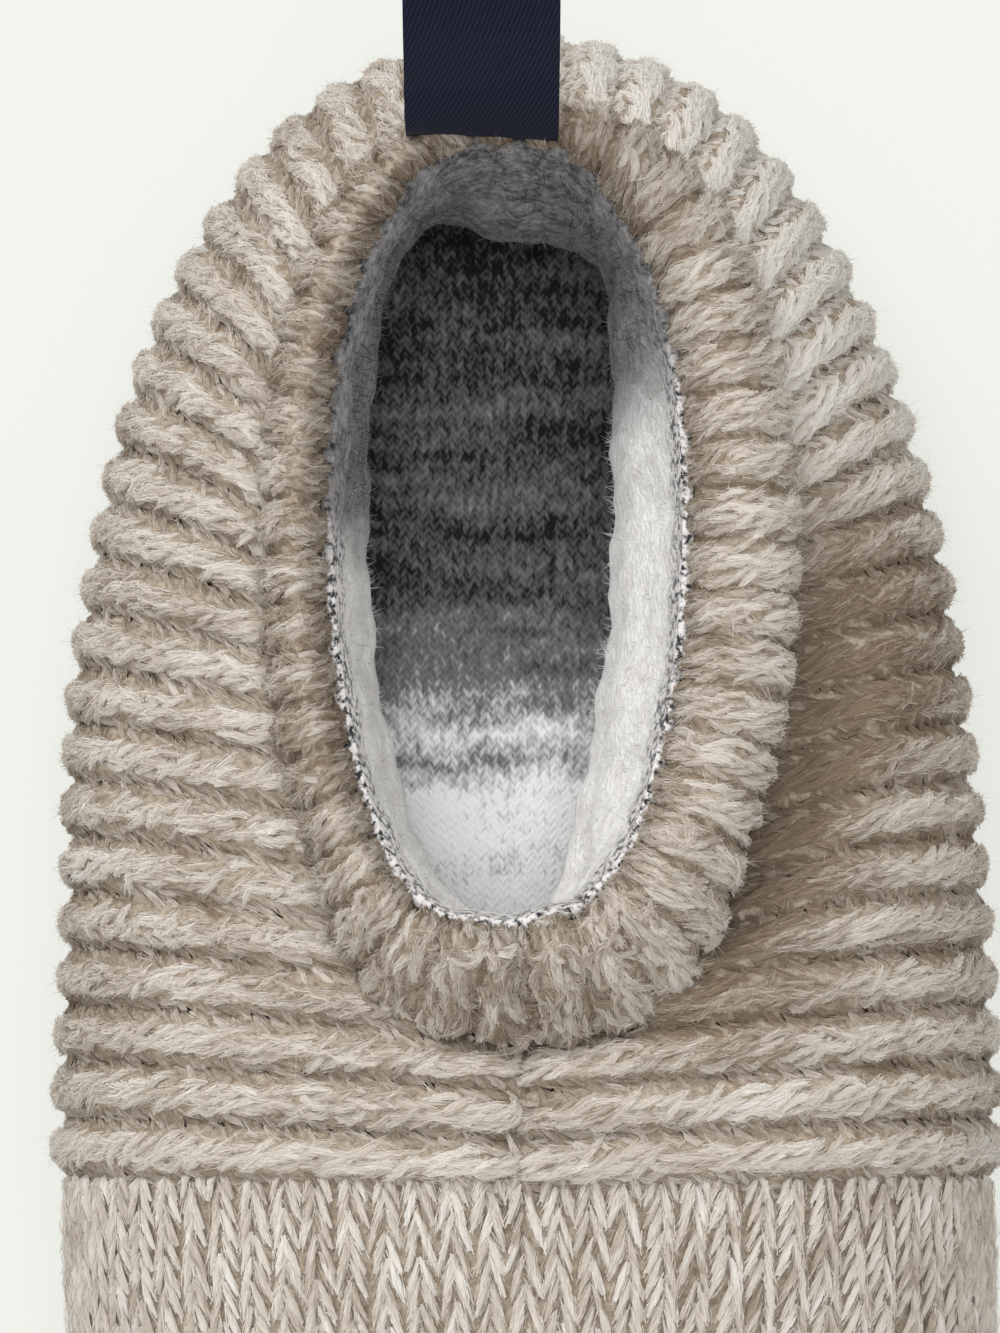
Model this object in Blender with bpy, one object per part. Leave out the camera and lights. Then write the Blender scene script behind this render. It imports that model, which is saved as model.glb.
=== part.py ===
"""A knitted house slipper for the right foot: sole, insole, ridged knitted upper, rolled collar and pull loop.

The slipper stands on its sole. Its length runs along Y with the heel at +Y, the inner side of the foot is at +X
and Z is up. Sections along the foot are given as distances forward from the back of the heel, in millimetres.
"""

import math
from collections import namedtuple

import bmesh
import bpy
import numpy as np

MM = 0.001

# Driving sizes of the slipper, in millimetres
GAP = 0.3                   # clearance between pieces that touch
SOLE_THICKNESS = 4.0        # soft outsole
SOLE_EDGE_ROUND = 1.0       # rounding of the outsole's upper edge
SOLE_FOOT_ROUND = 1.6       # rounding of its lower edge
SOLE_MARGIN = 0.8           # outsole standing out past the foot of the knitted wall
SOLE_INSET = 8.0            # knitted wall bulging out past its own foot
INSOLE_THICKNESS = 4.2
INSOLE_DISH = 1.4           # rim of the insole raised over its middle
INSOLE_EDGE_ROUND = 1.2
INSOLE_RIM = 2.4            # width of the insole's raised rim
MIDWAY = 0.6                # place of a layer's middle points, as a share of its reach
WALL = 3.2                  # thickness of the knitted wall between its ridges
WALL_FOOT_INSET = 7.5       # inset of the inner face of the wall at its foot
DOME_POWER = 2.15           # fullness of a cross section: 2 is an ellipse, more is boxier
TOE_SPRING = 5.0            # lift of the toe tip
TOE_SPRING_START = 207.0
ARCH_LIFT = 1.6             # lift of the inner edge of the sole at the waist
ARCH_START = 80.0
ARCH_END = 150.0
ARCH_REACH = 38.0           # distance from the axis where the arch has its full lift

# Knitted ridges, which run from the sole up to the collar
RIDGES_PER_SIDE = 24
RIDGE_HEIGHT = 1.7
RIDGE_ZONE_END = 124.9      # smooth toe begins here
RIDGE_CREST = (0.3, 0.7)    # start and end of a ridge's crest as shares of the pitch
RIDGE_FADE = 9.0            # ridges sink towards the collar over this distance
RIDGE_AT_COLLAR = 0.2       # share of a ridge's height that is left at the collar
RIDGE_ROOT = 0.2            # share of the wall's height over which a ridge rises out of the sole's edge

# Sections of the meshes
TOE_STATIONS = 15
OUTER_STEPS = 9             # points up the outer and the inner face of the wall
INNER_STEPS = 6
SOLE_STATIONS = 44
RIM_SAMPLES = 500
MERGE = 0.004               # points closer than this are one
SHARP_EDGE = math.radians(50)

# Opening of the upper, an egg shape seen from above
OPENING_BACK = 12.6
OPENING_CENTRE = 57.9
OPENING_FRONT = 105.6
OPENING_HALF_WIDTH = 26.6
OPENING_SHIFT = 1.2         # the opening lies towards the inner side
OPENING_POWER = 2.3

# Rolled collar around the opening
COLLAR_WIDTH_END = 4.9
COLLAR_WIDTH_SIDE = 6.5
COLLAR_SKEW = 2.2           # the roll is this much wider on the inner side and narrower on the outer side
COLLAR_FRONT_SKEW = 1.5     # and this much wider at the front and narrower at the heel
COLLAR_HEIGHT = 9.5
COLLAR_SEAT = 0.4           # clearance of the roll in the rim's cut
COLLAR_BULGE = 1.2          # the roll's inner side bellies out this much under its rim
COLLAR_RIBS = 42
COLLAR_RIB_HEIGHT = 1.1

# Cross section of the roll, from the rim's cut up its outer side, over its crest and down its inner side: a share
# of the roll's width and a distance further inwards, a height over the rim, and how a rib moves the point
RollPoint = namedtuple("RollPoint", "name width_share inward up rib_inward rib_up")
ROLL = (
    RollPoint("seat foot", 0.0, COLLAR_SEAT, -2.4, 0.0, 0.0),
    RollPoint("seat top", 0.0, COLLAR_SEAT, 0.5, 0.0, 0.0),
    RollPoint("outer low", 0.0, -0.9, 2.2, -1.0, 0.4),
    RollPoint("outer high", 0.0, -0.6, 5.6, -1.0, 1.0),
    RollPoint("outer crest", 0.3, 0.0, COLLAR_HEIGHT - 0.5, 0.0, 1.0),
    RollPoint("inner crest", 0.65, 0.0, COLLAR_HEIGHT - 0.4, 0.0, 1.0),
    RollPoint("inner high", 1.0, 0.0, COLLAR_HEIGHT - 3.2, 0.5, 0.5),
    RollPoint("inner belly", 1.0, COLLAR_BULGE, 0.8, 0.0, 0.0),
    RollPoint("inner low", 1.0, COLLAR_BULGE / 2, -5.0, 0.0, 0.0),
    RollPoint("underside", 0.5, 0.0, -7.5, 0.0, 0.0),
)

# Pull loop of woven tape at the heel
TAPE_WIDTH = 16.0
TAPE_THICKNESS = 0.9
LOOP_LENGTH = 45.0
LOOP_HALF_GAP = 4.6
LOOP_ROOT_HALF_GAP = 0.65   # the two ends of the tape lie side by side at the root
LOOP_LEAN = math.radians(28.0)
LOOP_BEND = (8.0, 24.0)     # the loop stands upright inside the collar and leans back over this stretch
LOOP_ROOT_DROP = 2.0        # root of the loop below the top of the upper's rim
LOOP_ROOT_BOW = 2.6         # the tape's edges bow forward at the root, round the heel
LOOP_STEPS = 26
TAPE_COLUMNS = 5

# One row for each section: edge is where the section meets the outline, axis is where it meets the middle line,
# outer and inner are the outline's distances from the heel's axis on the two sides, crown is the height of the
# section's dome over the middle line and widest is the height where the section is widest.
Section = namedtuple("Section", "name edge outer inner axis crown widest")
SECTIONS = (
    Section("heel back", 0.0, 0.0, 0.0, 65.9, 63.0, 24.0),
    Section("heel turn", 4.6, 17.4, 17.4, 65.9, 62.5, 24.0),
    Section("heel corner", 14.6, 29.0, 28.6, 66.4, 60.0, 23.5),
    Section("heel side", 30.6, 38.4, 37.8, 67.9, 56.0, 23.0),
    Section("heel front", 51.9, 44.8, 44.8, 72.9, 52.5, 22.0),
    Section("quarter", 74.9, 48.2, 48.7, 85.9, 52.0, 21.5),
    Section("waist", 99.9, 48.8, 50.8, 105.9, 54.5, 21.0),
    Section("instep", 124.9, 49.6, 52.0, 126.9, 54.0, 20.0),
    Section("vamp", 147.9, 48.8, 52.4, 148.4, 50.0, 19.0),
    Section("ball", 171.9, 46.6, 52.0, 170.9, 46.0, 18.0),
    Section("toe root", 196.9, 42.2, 50.0, 192.9, 41.4, 17.0),
    Section("toe side", 219.9, 34.6, 44.8, 207.9, 38.8, 16.5),
    Section("toe turn", 239.9, 21.6, 35.4, 214.9, 38.0, 16.0),
    Section("toe corner", 250.7, 6.4, 22.4, 215.9, 37.9, 16.0),
    Section("toe tip", 253.9, -8.0, 8.0, 215.9, 37.9, 16.0),
)
AXIS_BEND_START = 97.0      # the middle line bends towards the inner side from here to the toe tip
LAST_ROW = len(SECTIONS) - 1
INNER_SIDE = 1
OUTER_SIDE = -1

OATMEAL_WOOL = (0.48, 0.39, 0.29)
OATMEAL_ROLL = (0.44, 0.36, 0.27)
TAUPE_SUEDE = (0.23, 0.18, 0.14)
GREY_MARL = (0.19, 0.19, 0.19)
NAVY_TAPE = (0.016, 0.020, 0.034)
WOOL_ROUGHNESS = 0.95
SUEDE_ROUGHNESS = 0.9
TAPE_ROUGHNESS = 0.75


def catmull_rom(values, before, after, place):
    """Value at a fractional row of a column, on a smooth curve through the rows."""
    column = [before, *values, after]
    row = min(int(place), len(values) - 2)
    p0, p1, p2, p3 = column[row:row + 4]
    t = place - row
    return 0.5 * (2 * p1 + (p2 - p0) * t + (2 * p0 - 5 * p1 + 4 * p2 - p3) * t ** 2
                  + (3 * p1 - p0 - 3 * p2 + p3) * t ** 3)


def column_value(name, place):
    """Value of a column that runs the same on both sides, mirrored past the heel and the toe."""
    values = [getattr(section, name) for section in SECTIONS]
    return catmull_rom(values, values[1], values[-2], place)


def outline_x(side, place):
    """Sideways place of the outline, which runs on round the heel and the toe to the other side."""
    inner = [section.inner for section in SECTIONS]
    outer = [-section.outer for section in SECTIONS]
    here, there = (inner, outer) if side == INNER_SIDE else (outer, inner)
    return catmull_rom(here, there[1], there[-2], place)


def smooth_step(value, low, high):
    """0 below low, 1 above high, and a smooth rise between them."""
    share = min(max((value - low) / (high - low), 0.0), 1.0)
    return share * share * (3 - 2 * share)


def axis_x(forward):
    """Sideways place of the middle line."""
    tip = SECTIONS[LAST_ROW]
    return tip.inner * smooth_step(forward, AXIS_BEND_START, 2 * tip.edge - AXIS_BEND_START) * 2


def lift(x, forward):
    """Height of the sole's underside over the floor: the toe springs up and the inner waist arches."""
    spring = TOE_SPRING * max((forward - TOE_SPRING_START) / (SECTIONS[LAST_ROW].edge - TOE_SPRING_START), 0) ** 2
    middle = (ARCH_START + ARCH_END) / 2
    along = smooth_step(forward, ARCH_START, middle) * (1 - smooth_step(forward, middle, ARCH_END))
    return spring + ARCH_LIFT * along * smooth_step(x, 0, ARCH_REACH)


def arc_lengths():
    """Row places along a side and the outline's length from the heel to each, as the mean of both sides."""
    places = np.linspace(0, LAST_ROW, 40 * LAST_ROW + 1)
    edge = np.array([column_value("edge", place) for place in places])
    steps = []
    for side in (INNER_SIDE, OUTER_SIDE):
        x = np.array([outline_x(side, place) for place in places])
        steps.append(np.hypot(np.diff(x), np.diff(edge)))
    return places, np.concatenate([[0], np.cumsum(np.mean(steps, axis=0))]), edge


PLACES, LENGTHS, EDGES = arc_lengths()
RIDGE_ZONE_LENGTH = float(np.interp(RIDGE_ZONE_END, EDGES, LENGTHS))
RIDGE_PITCH = RIDGE_ZONE_LENGTH / RIDGES_PER_SIDE


def place_at_length(length):
    """Row place at a length along the outline from the back of the heel."""
    return float(np.interp(length, LENGTHS, PLACES))


def place_at_axis(forward):
    """Row place of the section that meets the middle line at this distance."""
    axis = [column_value("axis", place) for place in PLACES]
    return float(np.interp(forward, axis, PLACES))


def ridge(place):
    """Height of the knitted ridge at a row place: flat crests with troughs between them."""
    phase = float(np.interp(place, PLACES, LENGTHS)) / RIDGE_PITCH
    if phase >= RIDGES_PER_SIDE:
        return 0.0
    return RIDGE_HEIGHT * float(np.interp(phase % 1.0, (0, *RIDGE_CREST, 1), (0, 1, 1, 0)))


def opening_half_width(forward):
    """Half width of the upper's opening, seen from above."""
    reach = OPENING_FRONT - OPENING_CENTRE if forward > OPENING_CENTRE else OPENING_CENTRE - OPENING_BACK
    share = abs(forward - OPENING_CENTRE) / reach
    if share >= 1:
        return 0.0
    return OPENING_HALF_WIDTH * (1 - share ** OPENING_POWER) ** (1 / OPENING_POWER)


class Station:
    """One upright half section, from the middle line out to the outline on one side."""

    def __init__(self, side, place):
        toe = SECTIONS[LAST_ROW]
        self.place = place
        forward = min(column_value("axis", place), toe.axis)
        self.start = np.array([axis_x(forward), forward])
        edge = np.array([outline_x(side, place), column_value("edge", place)])
        self.reach = float(np.linalg.norm(edge - self.start))
        self.direction = (edge - self.start) / self.reach
        self.crown = toe.crown if forward == toe.axis else column_value("crown", place)
        self.widest = column_value("widest", place)

    def opening(self):
        """Distance from the middle line to the rim of the opening, or 0 in front of it."""
        if self.start[1] > OPENING_FRONT - GAP:
            return 0.0
        low, high = 0.0, self.reach
        for _ in range(40):
            middle = (low + high) / 2
            x, forward = self.start + self.direction * middle
            half = opening_half_width(forward)
            inside = abs(x - OPENING_SHIFT * half / OPENING_HALF_WIDTH) < half
            low, high = (middle, high) if inside else (low, middle)
        return low if low > GAP else 0.0

    def point(self, radius, height):
        """Point of the slipper, in millimetres, at a distance from the middle line and a height over the sole."""
        x, forward = self.start + self.direction * radius
        return x, -forward, height + lift(x, forward)

    def wall(self, steps, inward=0.0, foot_inset=SOLE_INSET, raised=0.0):
        """Points up one face of the wall, from its foot on the sole to the rim or the middle line."""
        reach, crown = self.reach - inward, self.crown - inward
        foot = SOLE_THICKNESS + GAP
        rim = self.opening()
        top = math.acos(min((rim / reach) ** (DOME_POWER / 2), 1.0))
        points = []
        for share in np.linspace(0, 1, steps + 1):
            angle = -math.pi / 2 + share * (top + math.pi / 2)
            side, up = math.cos(angle), math.sin(angle)
            if angle < 0:
                radius = reach - foot_inset + foot_inset * side
                height = self.widest + (self.widest - foot) * up
            else:
                radius = reach * side ** (2 / DOME_POWER)
                height = self.widest + (crown - self.widest) * up ** (2 / DOME_POWER)
            if rim == 0 and share == 1:
                radius = 0.0
            to_rim = radius - rim if rim else math.hypot(radius, self.start[1] - OPENING_FRONT)
            fade = smooth_step(share, 0, RIDGE_ROOT)
            fade *= RIDGE_AT_COLLAR + (1 - RIDGE_AT_COLLAR) * smooth_step(to_rim, 0, RIDGE_FADE)
            points.append(self.point(radius + raised * fade * side, height + raised * fade * up))
        return points


def add_object(name, points, faces, colour, roughness):
    """Closed mesh object in millimetres, with doubles merged and faces turned outwards."""
    mesh = bpy.data.meshes.new(name)
    mesh.from_pydata([tuple(c * MM for c in point) for point in points], [], faces)
    shape = bmesh.new()
    shape.from_mesh(mesh)
    bmesh.ops.remove_doubles(shape, verts=shape.verts, dist=MERGE * MM)
    bmesh.ops.dissolve_degenerate(shape, edges=shape.edges, dist=MERGE * MM)
    bmesh.ops.triangulate(shape, faces=shape.faces)
    bmesh.ops.recalc_face_normals(shape, faces=shape.faces)
    shape.to_mesh(mesh)
    shape.free()
    mesh.shade_smooth()
    mesh.set_sharp_from_angle(angle=SHARP_EDGE)
    part = bpy.data.objects.new(name, mesh)
    bpy.context.scene.collection.objects.link(part)
    material = bpy.data.materials.new(name)
    material.use_nodes = True
    shader = material.node_tree.nodes["Principled BSDF"]
    shader.inputs["Base Color"].default_value = (*colour, 1.0)
    shader.inputs["Roughness"].default_value = roughness
    shader.inputs["Metallic"].default_value = 0.0
    mesh.materials.append(material)
    return part


def strip_faces(rows, columns, first, closed_rows):
    """Quads over a grid of points whose numbering starts at first."""
    faces = []
    for row in range(rows if closed_rows else rows - 1):
        following = (row + 1) % rows
        for column in range(columns - 1):
            faces.append((first + row * columns + column, first + following * columns + column,
                          first + following * columns + column + 1, first + row * columns + column + 1))
    return faces


def round_trip(places):
    """Stations up the inner side from the heel to the toe tip and back down the outer side."""
    there = [Station(INNER_SIDE, place) for place in places]
    back = [Station(OUTER_SIDE, place) for place in reversed(places[1:-1])]
    return there + back


def upper_places():
    """Row places of the upper's sections: three to a ridge, some at the throat and some over the smooth toe."""
    lengths = []
    for number in range(RIDGES_PER_SIDE):
        lengths += [(number + phase) * RIDGE_PITCH for phase in (0, *RIDGE_CREST)]
    lengths += list(np.linspace(RIDGE_ZONE_LENGTH, LENGTHS[-1], TOE_STATIONS + 1))
    places = [place_at_length(length) for length in lengths]
    places += [place_at_axis(OPENING_FRONT), place_at_axis(OPENING_FRONT - 2 * GAP)]
    return sorted(places)


def make_upper():
    """Hollow knitted wall with raised ridges, open at the collar and over the sole."""
    stations = round_trip(upper_places())
    outer, inner = [], []
    for station in stations:
        outer += station.wall(OUTER_STEPS, raised=ridge(station.place))
        inner += station.wall(INNER_STEPS, inward=WALL, foot_inset=WALL_FOOT_INSET)
    count = len(stations)
    faces = strip_faces(count, OUTER_STEPS + 1, 0, True)
    faces += strip_faces(count, INNER_STEPS + 1, len(outer), True)
    is_open = [station.opening() > 0 for station in stations]
    for here in range(count):
        there = (here + 1) % count
        corner = [here * (OUTER_STEPS + 1), there * (OUTER_STEPS + 1)]
        inside = [len(outer) + here * (INNER_STEPS + 1), len(outer) + there * (INNER_STEPS + 1)]
        faces.append((corner[0], corner[1], inside[1], inside[0]))
        if is_open[here] or is_open[there]:
            faces.append((corner[0] + OUTER_STEPS, corner[1] + OUTER_STEPS,
                          inside[1] + INNER_STEPS, inside[0] + INNER_STEPS))
    return add_object("upper", outer + inner, faces, OATMEAL_WOOL, WOOL_ROUGHNESS)


def rim_loop():
    """Closed loop of points on the upper's rim, from the heel along the inner side to the throat and back."""
    tip = place_at_axis(OPENING_FRONT)
    shares = np.sin(np.linspace(0, math.pi / 2, RIM_SAMPLES))
    half = {}
    for side in (INNER_SIDE, OUTER_SIDE):
        half[side] = []
        for share in shares:
            half[side].append(Station(side, tip * share).wall(1)[-1])
    return np.array(half[INNER_SIDE] + half[OUTER_SIDE][-2:0:-1])


def resample(loop, count):
    """Points at even steps along a closed loop."""
    closed = np.vstack([loop, loop[:1]])
    length = np.concatenate([[0], np.cumsum(np.linalg.norm(np.diff(closed, axis=0), axis=1))])
    targets = np.array(count) * length[-1]
    return np.column_stack([np.interp(targets, length, closed[:, axis]) for axis in range(3)])


def collar_section(width, rib):
    """Roll's cross section as inward and upward distances from the upper's rim, starting in the rim's cut."""
    section = []
    for corner in ROLL:
        inward = corner.width_share * width + corner.inward + corner.rib_inward * rib
        section.append((inward, corner.up + corner.rib_up * rib))
    return section


def make_collar():
    """Rolled knitted collar, a closed ring seated on the rim of the upper."""
    shares = []
    for number in range(COLLAR_RIBS):
        shares += [(number + phase) / COLLAR_RIBS for phase in (0, *RIDGE_CREST)]
    path = resample(rim_loop(), shares)
    points = []
    for number, rim in enumerate(path):
        along = path[(number + 1) % len(path)] - path[number - 1]
        inward = np.array([along[1], -along[0]]) / math.hypot(along[0], along[1])
        end_or_side = COLLAR_WIDTH_END + (COLLAR_WIDTH_SIDE - COLLAR_WIDTH_END) * abs(inward[0])
        width = end_or_side - COLLAR_SKEW * inward[0] + COLLAR_FRONT_SKEW * inward[1]
        rib = 0.0 if number % 3 == 0 else COLLAR_RIB_HEIGHT
        section = collar_section(width, rib)
        for across, up in section:
            points.append((rim[0] + inward[0] * across, rim[1] + inward[1] * across, rim[2] + up))
    columns = len(section)
    faces = []
    for here in range(len(path)):
        there = (here + 1) % len(path)
        for column in range(columns):
            following = (column + 1) % columns
            faces.append((here * columns + column, there * columns + column,
                          there * columns + following, here * columns + following))
    return add_object("collar", points, faces, OATMEAL_ROLL, WOOL_ROUGHNESS)


def layer(name, profile, colour, roughness):
    """Closed layer over the sole's plan, from a profile that runs from the middle line round its edge and back."""
    lengths = np.linspace(0, LENGTHS[-1], SOLE_STATIONS)
    stations = round_trip([place_at_length(length) for length in lengths])
    points = []
    for station in stations:
        section = profile(station.reach)
        points += [station.point(radius, height) for radius, height in section]
    faces = strip_faces(len(stations), len(section), 0, True)
    return add_object(name, points, faces, colour, roughness)


def make_outsole():
    """Soft flat outsole with rounded edges."""
    def profile(reach):
        edge = reach - SOLE_INSET + SOLE_MARGIN
        foot, turn = SOLE_FOOT_ROUND, SOLE_EDGE_ROUND
        return ((0, 0), (MIDWAY * edge, 0), (edge - foot, 0), (edge - foot / 4, foot / 4), (edge, foot),
                (edge, SOLE_THICKNESS - turn), (edge - turn, SOLE_THICKNESS),
                (MIDWAY * edge, SOLE_THICKNESS), (0, SOLE_THICKNESS))
    return layer("outsole", profile, TAUPE_SUEDE, SUEDE_ROUGHNESS)


def make_insole():
    """Padded insole inside the foot of the wall, dished under the foot."""
    def profile(reach):
        edge = reach - WALL - WALL_FOOT_INSET - GAP
        floor = SOLE_THICKNESS + GAP
        top = floor + INSOLE_THICKNESS
        turn = INSOLE_EDGE_ROUND
        return ((0, floor), (MIDWAY * edge, floor), (edge - turn, floor), (edge, floor + turn),
                (edge - turn / 2, top + INSOLE_DISH - turn / 2), (edge - INSOLE_RIM, top + INSOLE_DISH),
                (MIDWAY * edge, top), (0, top))
    return layer("insole", profile, GREY_MARL, WOOL_ROUGHNESS)


def loop_line(root):
    """Folded tape's line seen from the side: up one leg, over the fold and down the other leg to the root."""
    turns = np.linspace(0, 2 * math.pi, LOOP_STEPS + 1)
    rises = LOOP_LENGTH * (1 - np.cos(turns)) / 2
    fine = np.linspace(0, LOOP_LENGTH, 200)
    leans = np.array([LOOP_LEAN * smooth_step(rise, *LOOP_BEND) for rise in fine])
    middle_y = np.concatenate([[0], np.cumsum(np.sin(leans[:-1]) * np.diff(fine))])
    middle_z = np.concatenate([[0], np.cumsum(np.cos(leans[:-1]) * np.diff(fine))])
    line = []
    for turn, rise in zip(turns, rises):
        lean = float(np.interp(rise, fine, leans))
        spread = LOOP_HALF_GAP * abs(math.sin(turn)) * math.sin(turn / 2) ** 2
        spread += LOOP_ROOT_HALF_GAP * min(1.0, 4 * (1 - rise / LOOP_LENGTH))
        leg = math.copysign(spread, turn - math.pi)
        line.append((root[0] + np.interp(rise, fine, middle_y) + leg * math.cos(lean),
                     root[1] + np.interp(rise, fine, middle_z) - leg * math.sin(lean)))
    return np.array(line)


def make_pull_loop():
    """Folded tape standing at the heel, both ends rooted against the inside of the collar."""
    heel = rim_loop()[0]
    clear_of_collar = COLLAR_WIDTH_END - COLLAR_FRONT_SKEW + COLLAR_BULGE + 2 * GAP
    line = loop_line((heel[1] - clear_of_collar - LOOP_ROOT_HALF_GAP - TAPE_THICKNESS, heel[2] - LOOP_ROOT_DROP))
    shares = np.linspace(-1, 1, TAPE_COLUMNS)
    points = []
    for number, middle in enumerate(line):
        along = line[min(number + 1, LOOP_STEPS)] - line[max(number - 1, 0)]
        across = np.array([-along[1], along[0]]) / np.linalg.norm(along) * TAPE_THICKNESS / 2
        bow = LOOP_ROOT_BOW * (1 - smooth_step(middle[1] - line[0][1], *LOOP_BEND))
        for face, order in ((-1, shares), (1, shares[::-1])):
            y, z = middle + across * face
            points += [(heel[0] + share * TAPE_WIDTH / 2, y - bow * share ** 2, z) for share in order]
    ring = 2 * TAPE_COLUMNS
    faces = strip_faces(LOOP_STEPS + 1, ring, 0, False)
    for row in range(LOOP_STEPS):
        faces.append((ring * row + ring - 1, ring * row + 2 * ring - 1, ring * row + ring, ring * row))
    for first in (0, ring * LOOP_STEPS):
        for column in range(TAPE_COLUMNS - 1):
            faces.append((first + column, first + column + 1, first + ring - 2 - column, first + ring - 1 - column))
    return add_object("pull_loop", points, faces, NAVY_TAPE, TAPE_ROUGHNESS)


def centre_on_floor(parts):
    """Hangs the pieces on one empty, so that the middle of the slipper's footprint is at the origin."""
    corners = np.array([vertex.co for part in parts for vertex in part.data.vertices])
    low, high = corners.min(axis=0), corners.max(axis=0)
    frame = bpy.data.objects.new("slipper_frame", None)
    bpy.context.scene.collection.objects.link(frame)
    frame.location = (-(low[0] + high[0]) / 2, -(low[1] + high[1]) / 2, -low[2])
    for part in parts:
        part.parent = frame


def main():
    """Clears the scene and builds the slipper's pieces."""
    for item in list(bpy.data.objects):
        bpy.data.objects.remove(item)
    centre_on_floor([make_outsole(), make_insole(), make_upper(), make_collar(), make_pull_loop()])


main()
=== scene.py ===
"""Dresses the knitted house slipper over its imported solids, in a pale studio.

Sizes are in millimetres unless a name says otherwise. The heel is at +Y, the inner side of the foot at +X.
"""

import logging
import math
from dataclasses import dataclass, field
from enum import Enum
from typing import Callable, NamedTuple

import bpy
import numpy as np
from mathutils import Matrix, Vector
from mathutils.bvhtree import BVHTree


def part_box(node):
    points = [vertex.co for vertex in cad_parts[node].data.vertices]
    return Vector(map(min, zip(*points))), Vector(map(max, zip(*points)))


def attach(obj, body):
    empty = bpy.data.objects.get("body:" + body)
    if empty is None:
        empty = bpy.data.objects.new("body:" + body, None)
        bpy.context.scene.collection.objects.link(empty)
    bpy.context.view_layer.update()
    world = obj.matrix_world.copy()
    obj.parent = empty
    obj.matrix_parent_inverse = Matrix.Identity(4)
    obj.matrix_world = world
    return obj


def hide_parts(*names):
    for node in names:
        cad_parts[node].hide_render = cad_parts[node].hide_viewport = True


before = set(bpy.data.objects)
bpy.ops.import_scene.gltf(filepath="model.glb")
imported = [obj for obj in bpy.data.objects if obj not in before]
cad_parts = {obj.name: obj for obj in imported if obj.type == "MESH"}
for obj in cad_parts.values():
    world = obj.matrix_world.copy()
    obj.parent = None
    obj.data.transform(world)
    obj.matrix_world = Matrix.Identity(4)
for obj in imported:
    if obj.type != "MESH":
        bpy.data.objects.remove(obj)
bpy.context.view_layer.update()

LOG = logging.getLogger("slipper")
MM = 0.001
BODY = "root"
SEED = 24
TINT_LIMITS = (0.02, 0.98)
Array = np.ndarray
Span = tuple[float, float]  # start and end
Spread = tuple[float, float]  # mean and standard deviation
Plan = tuple[float, float]  # X and Y
Point = tuple[float, float, float]
Surface = Callable[[Array, Array], Array]
Socket = bpy.types.NodeSocket
Piece = bpy.types.Object


class Side(Enum):
    """Sides of the foot, as the sign of X."""

    INNER = 1
    OUTER = -1


class Slot(Enum):
    """Material slots of the part's record."""

    INSOLE = "insole_marl"
    UPPER = "upper_knit"
    COLLAR = "collar_knit"
    LOOP = "loop_tape"


class Section(NamedTuple):
    """One section of the last: where it meets the outline and the middle line, half widths and heights."""

    name: str
    edge: float
    outer: float
    inner: float
    axis: float
    crown: float
    widest: float


SECTIONS = (
    Section("heel back", 0.0, 0.0, 0.0, 65.9, 63.0, 24.0),
    Section("heel turn", 4.6, 17.4, 17.4, 65.9, 62.5, 24.0),
    Section("heel corner", 14.6, 29.0, 28.6, 66.4, 60.0, 23.5),
    Section("heel side", 30.6, 38.4, 37.8, 67.9, 56.0, 23.0),
    Section("heel front", 51.9, 44.8, 44.8, 72.9, 52.5, 22.0),
    Section("quarter", 74.9, 48.2, 48.7, 85.9, 52.0, 21.5),
    Section("waist", 99.9, 48.8, 50.8, 105.9, 54.5, 21.0),
    Section("instep", 124.9, 49.6, 52.0, 126.9, 54.0, 20.0),
    Section("vamp", 147.9, 48.8, 52.4, 148.4, 50.0, 19.0),
    Section("ball", 171.9, 46.6, 52.0, 170.9, 46.0, 18.0),
    Section("toe root", 196.9, 42.2, 50.0, 192.9, 41.4, 17.0),
    Section("toe side", 219.9, 34.6, 44.8, 207.9, 38.8, 16.5),
    Section("toe turn", 239.9, 21.6, 35.4, 214.9, 38.0, 16.0),
    Section("toe corner", 250.7, 6.4, 22.4, 215.9, 37.9, 16.0),
    Section("toe tip", 253.9, -8.0, 8.0, 215.9, 37.9, 16.0),
)
LAST_ROW = len(SECTIONS) - 1


class RollPoint(NamedTuple):
    """One corner of the collar's cross section.

    It is a share of the width and distances in and up, with the pull of a rib and of the apron at the front.
    """

    name: str
    width_share: float
    inward: float
    up: float
    rib_inward: float
    rib_up: float
    front_inward: float
    front_up: float


ROLL = (
    RollPoint("seat foot", 0.0, 0.4, -2.4, 0.0, 0.0, 0.0, 0.0),
    RollPoint("seat top", 0.0, 0.4, 0.5, 0.0, 0.0, -3.0, -2.2),
    RollPoint("outer low", 0.0, -0.9, 2.2, -1.0, 0.4, -5.2, -2.6),
    RollPoint("outer high", 0.0, -0.6, 5.6, -1.0, 1.0, -3.6, -3.4),
    RollPoint("outer crest", 0.3, 0.0, 9.0, 0.0, 1.0, -1.4, -2.4),
    RollPoint("inner crest", 0.65, 0.0, 9.1, 0.0, 1.0, 0.0, -0.8),
    RollPoint("inner high", 1.0, 0.0, 6.3, 0.5, 0.5, 0.0, 0.0),
    RollPoint("inner belly", 1.0, 1.2, 0.8, 0.0, 0.0, 0.0, 0.0),
    RollPoint("inner low", 1.0, 0.6, -5.0, 0.0, 0.0, 0.0, 0.0),
    RollPoint("underside", 0.5, 0.0, -7.5, 0.0, 0.0, 0.0, 0.0),
)


def smooth_step(value: Array, low: float, high: float) -> Array:
    """Gives 0 below low, 1 above high and a smooth rise between them."""
    share = np.clip((np.asarray(value, float) - low) / (high - low), 0.0, 1.0)
    return share * share * (3 - 2 * share)


def between(value: Array, rise: Span, fall: Span) -> Array:
    """Gives 1 between a smooth rise and a smooth fall, and 0 outside them."""
    return smooth_step(value, *rise) * (1 - smooth_step(value, *fall))


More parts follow.
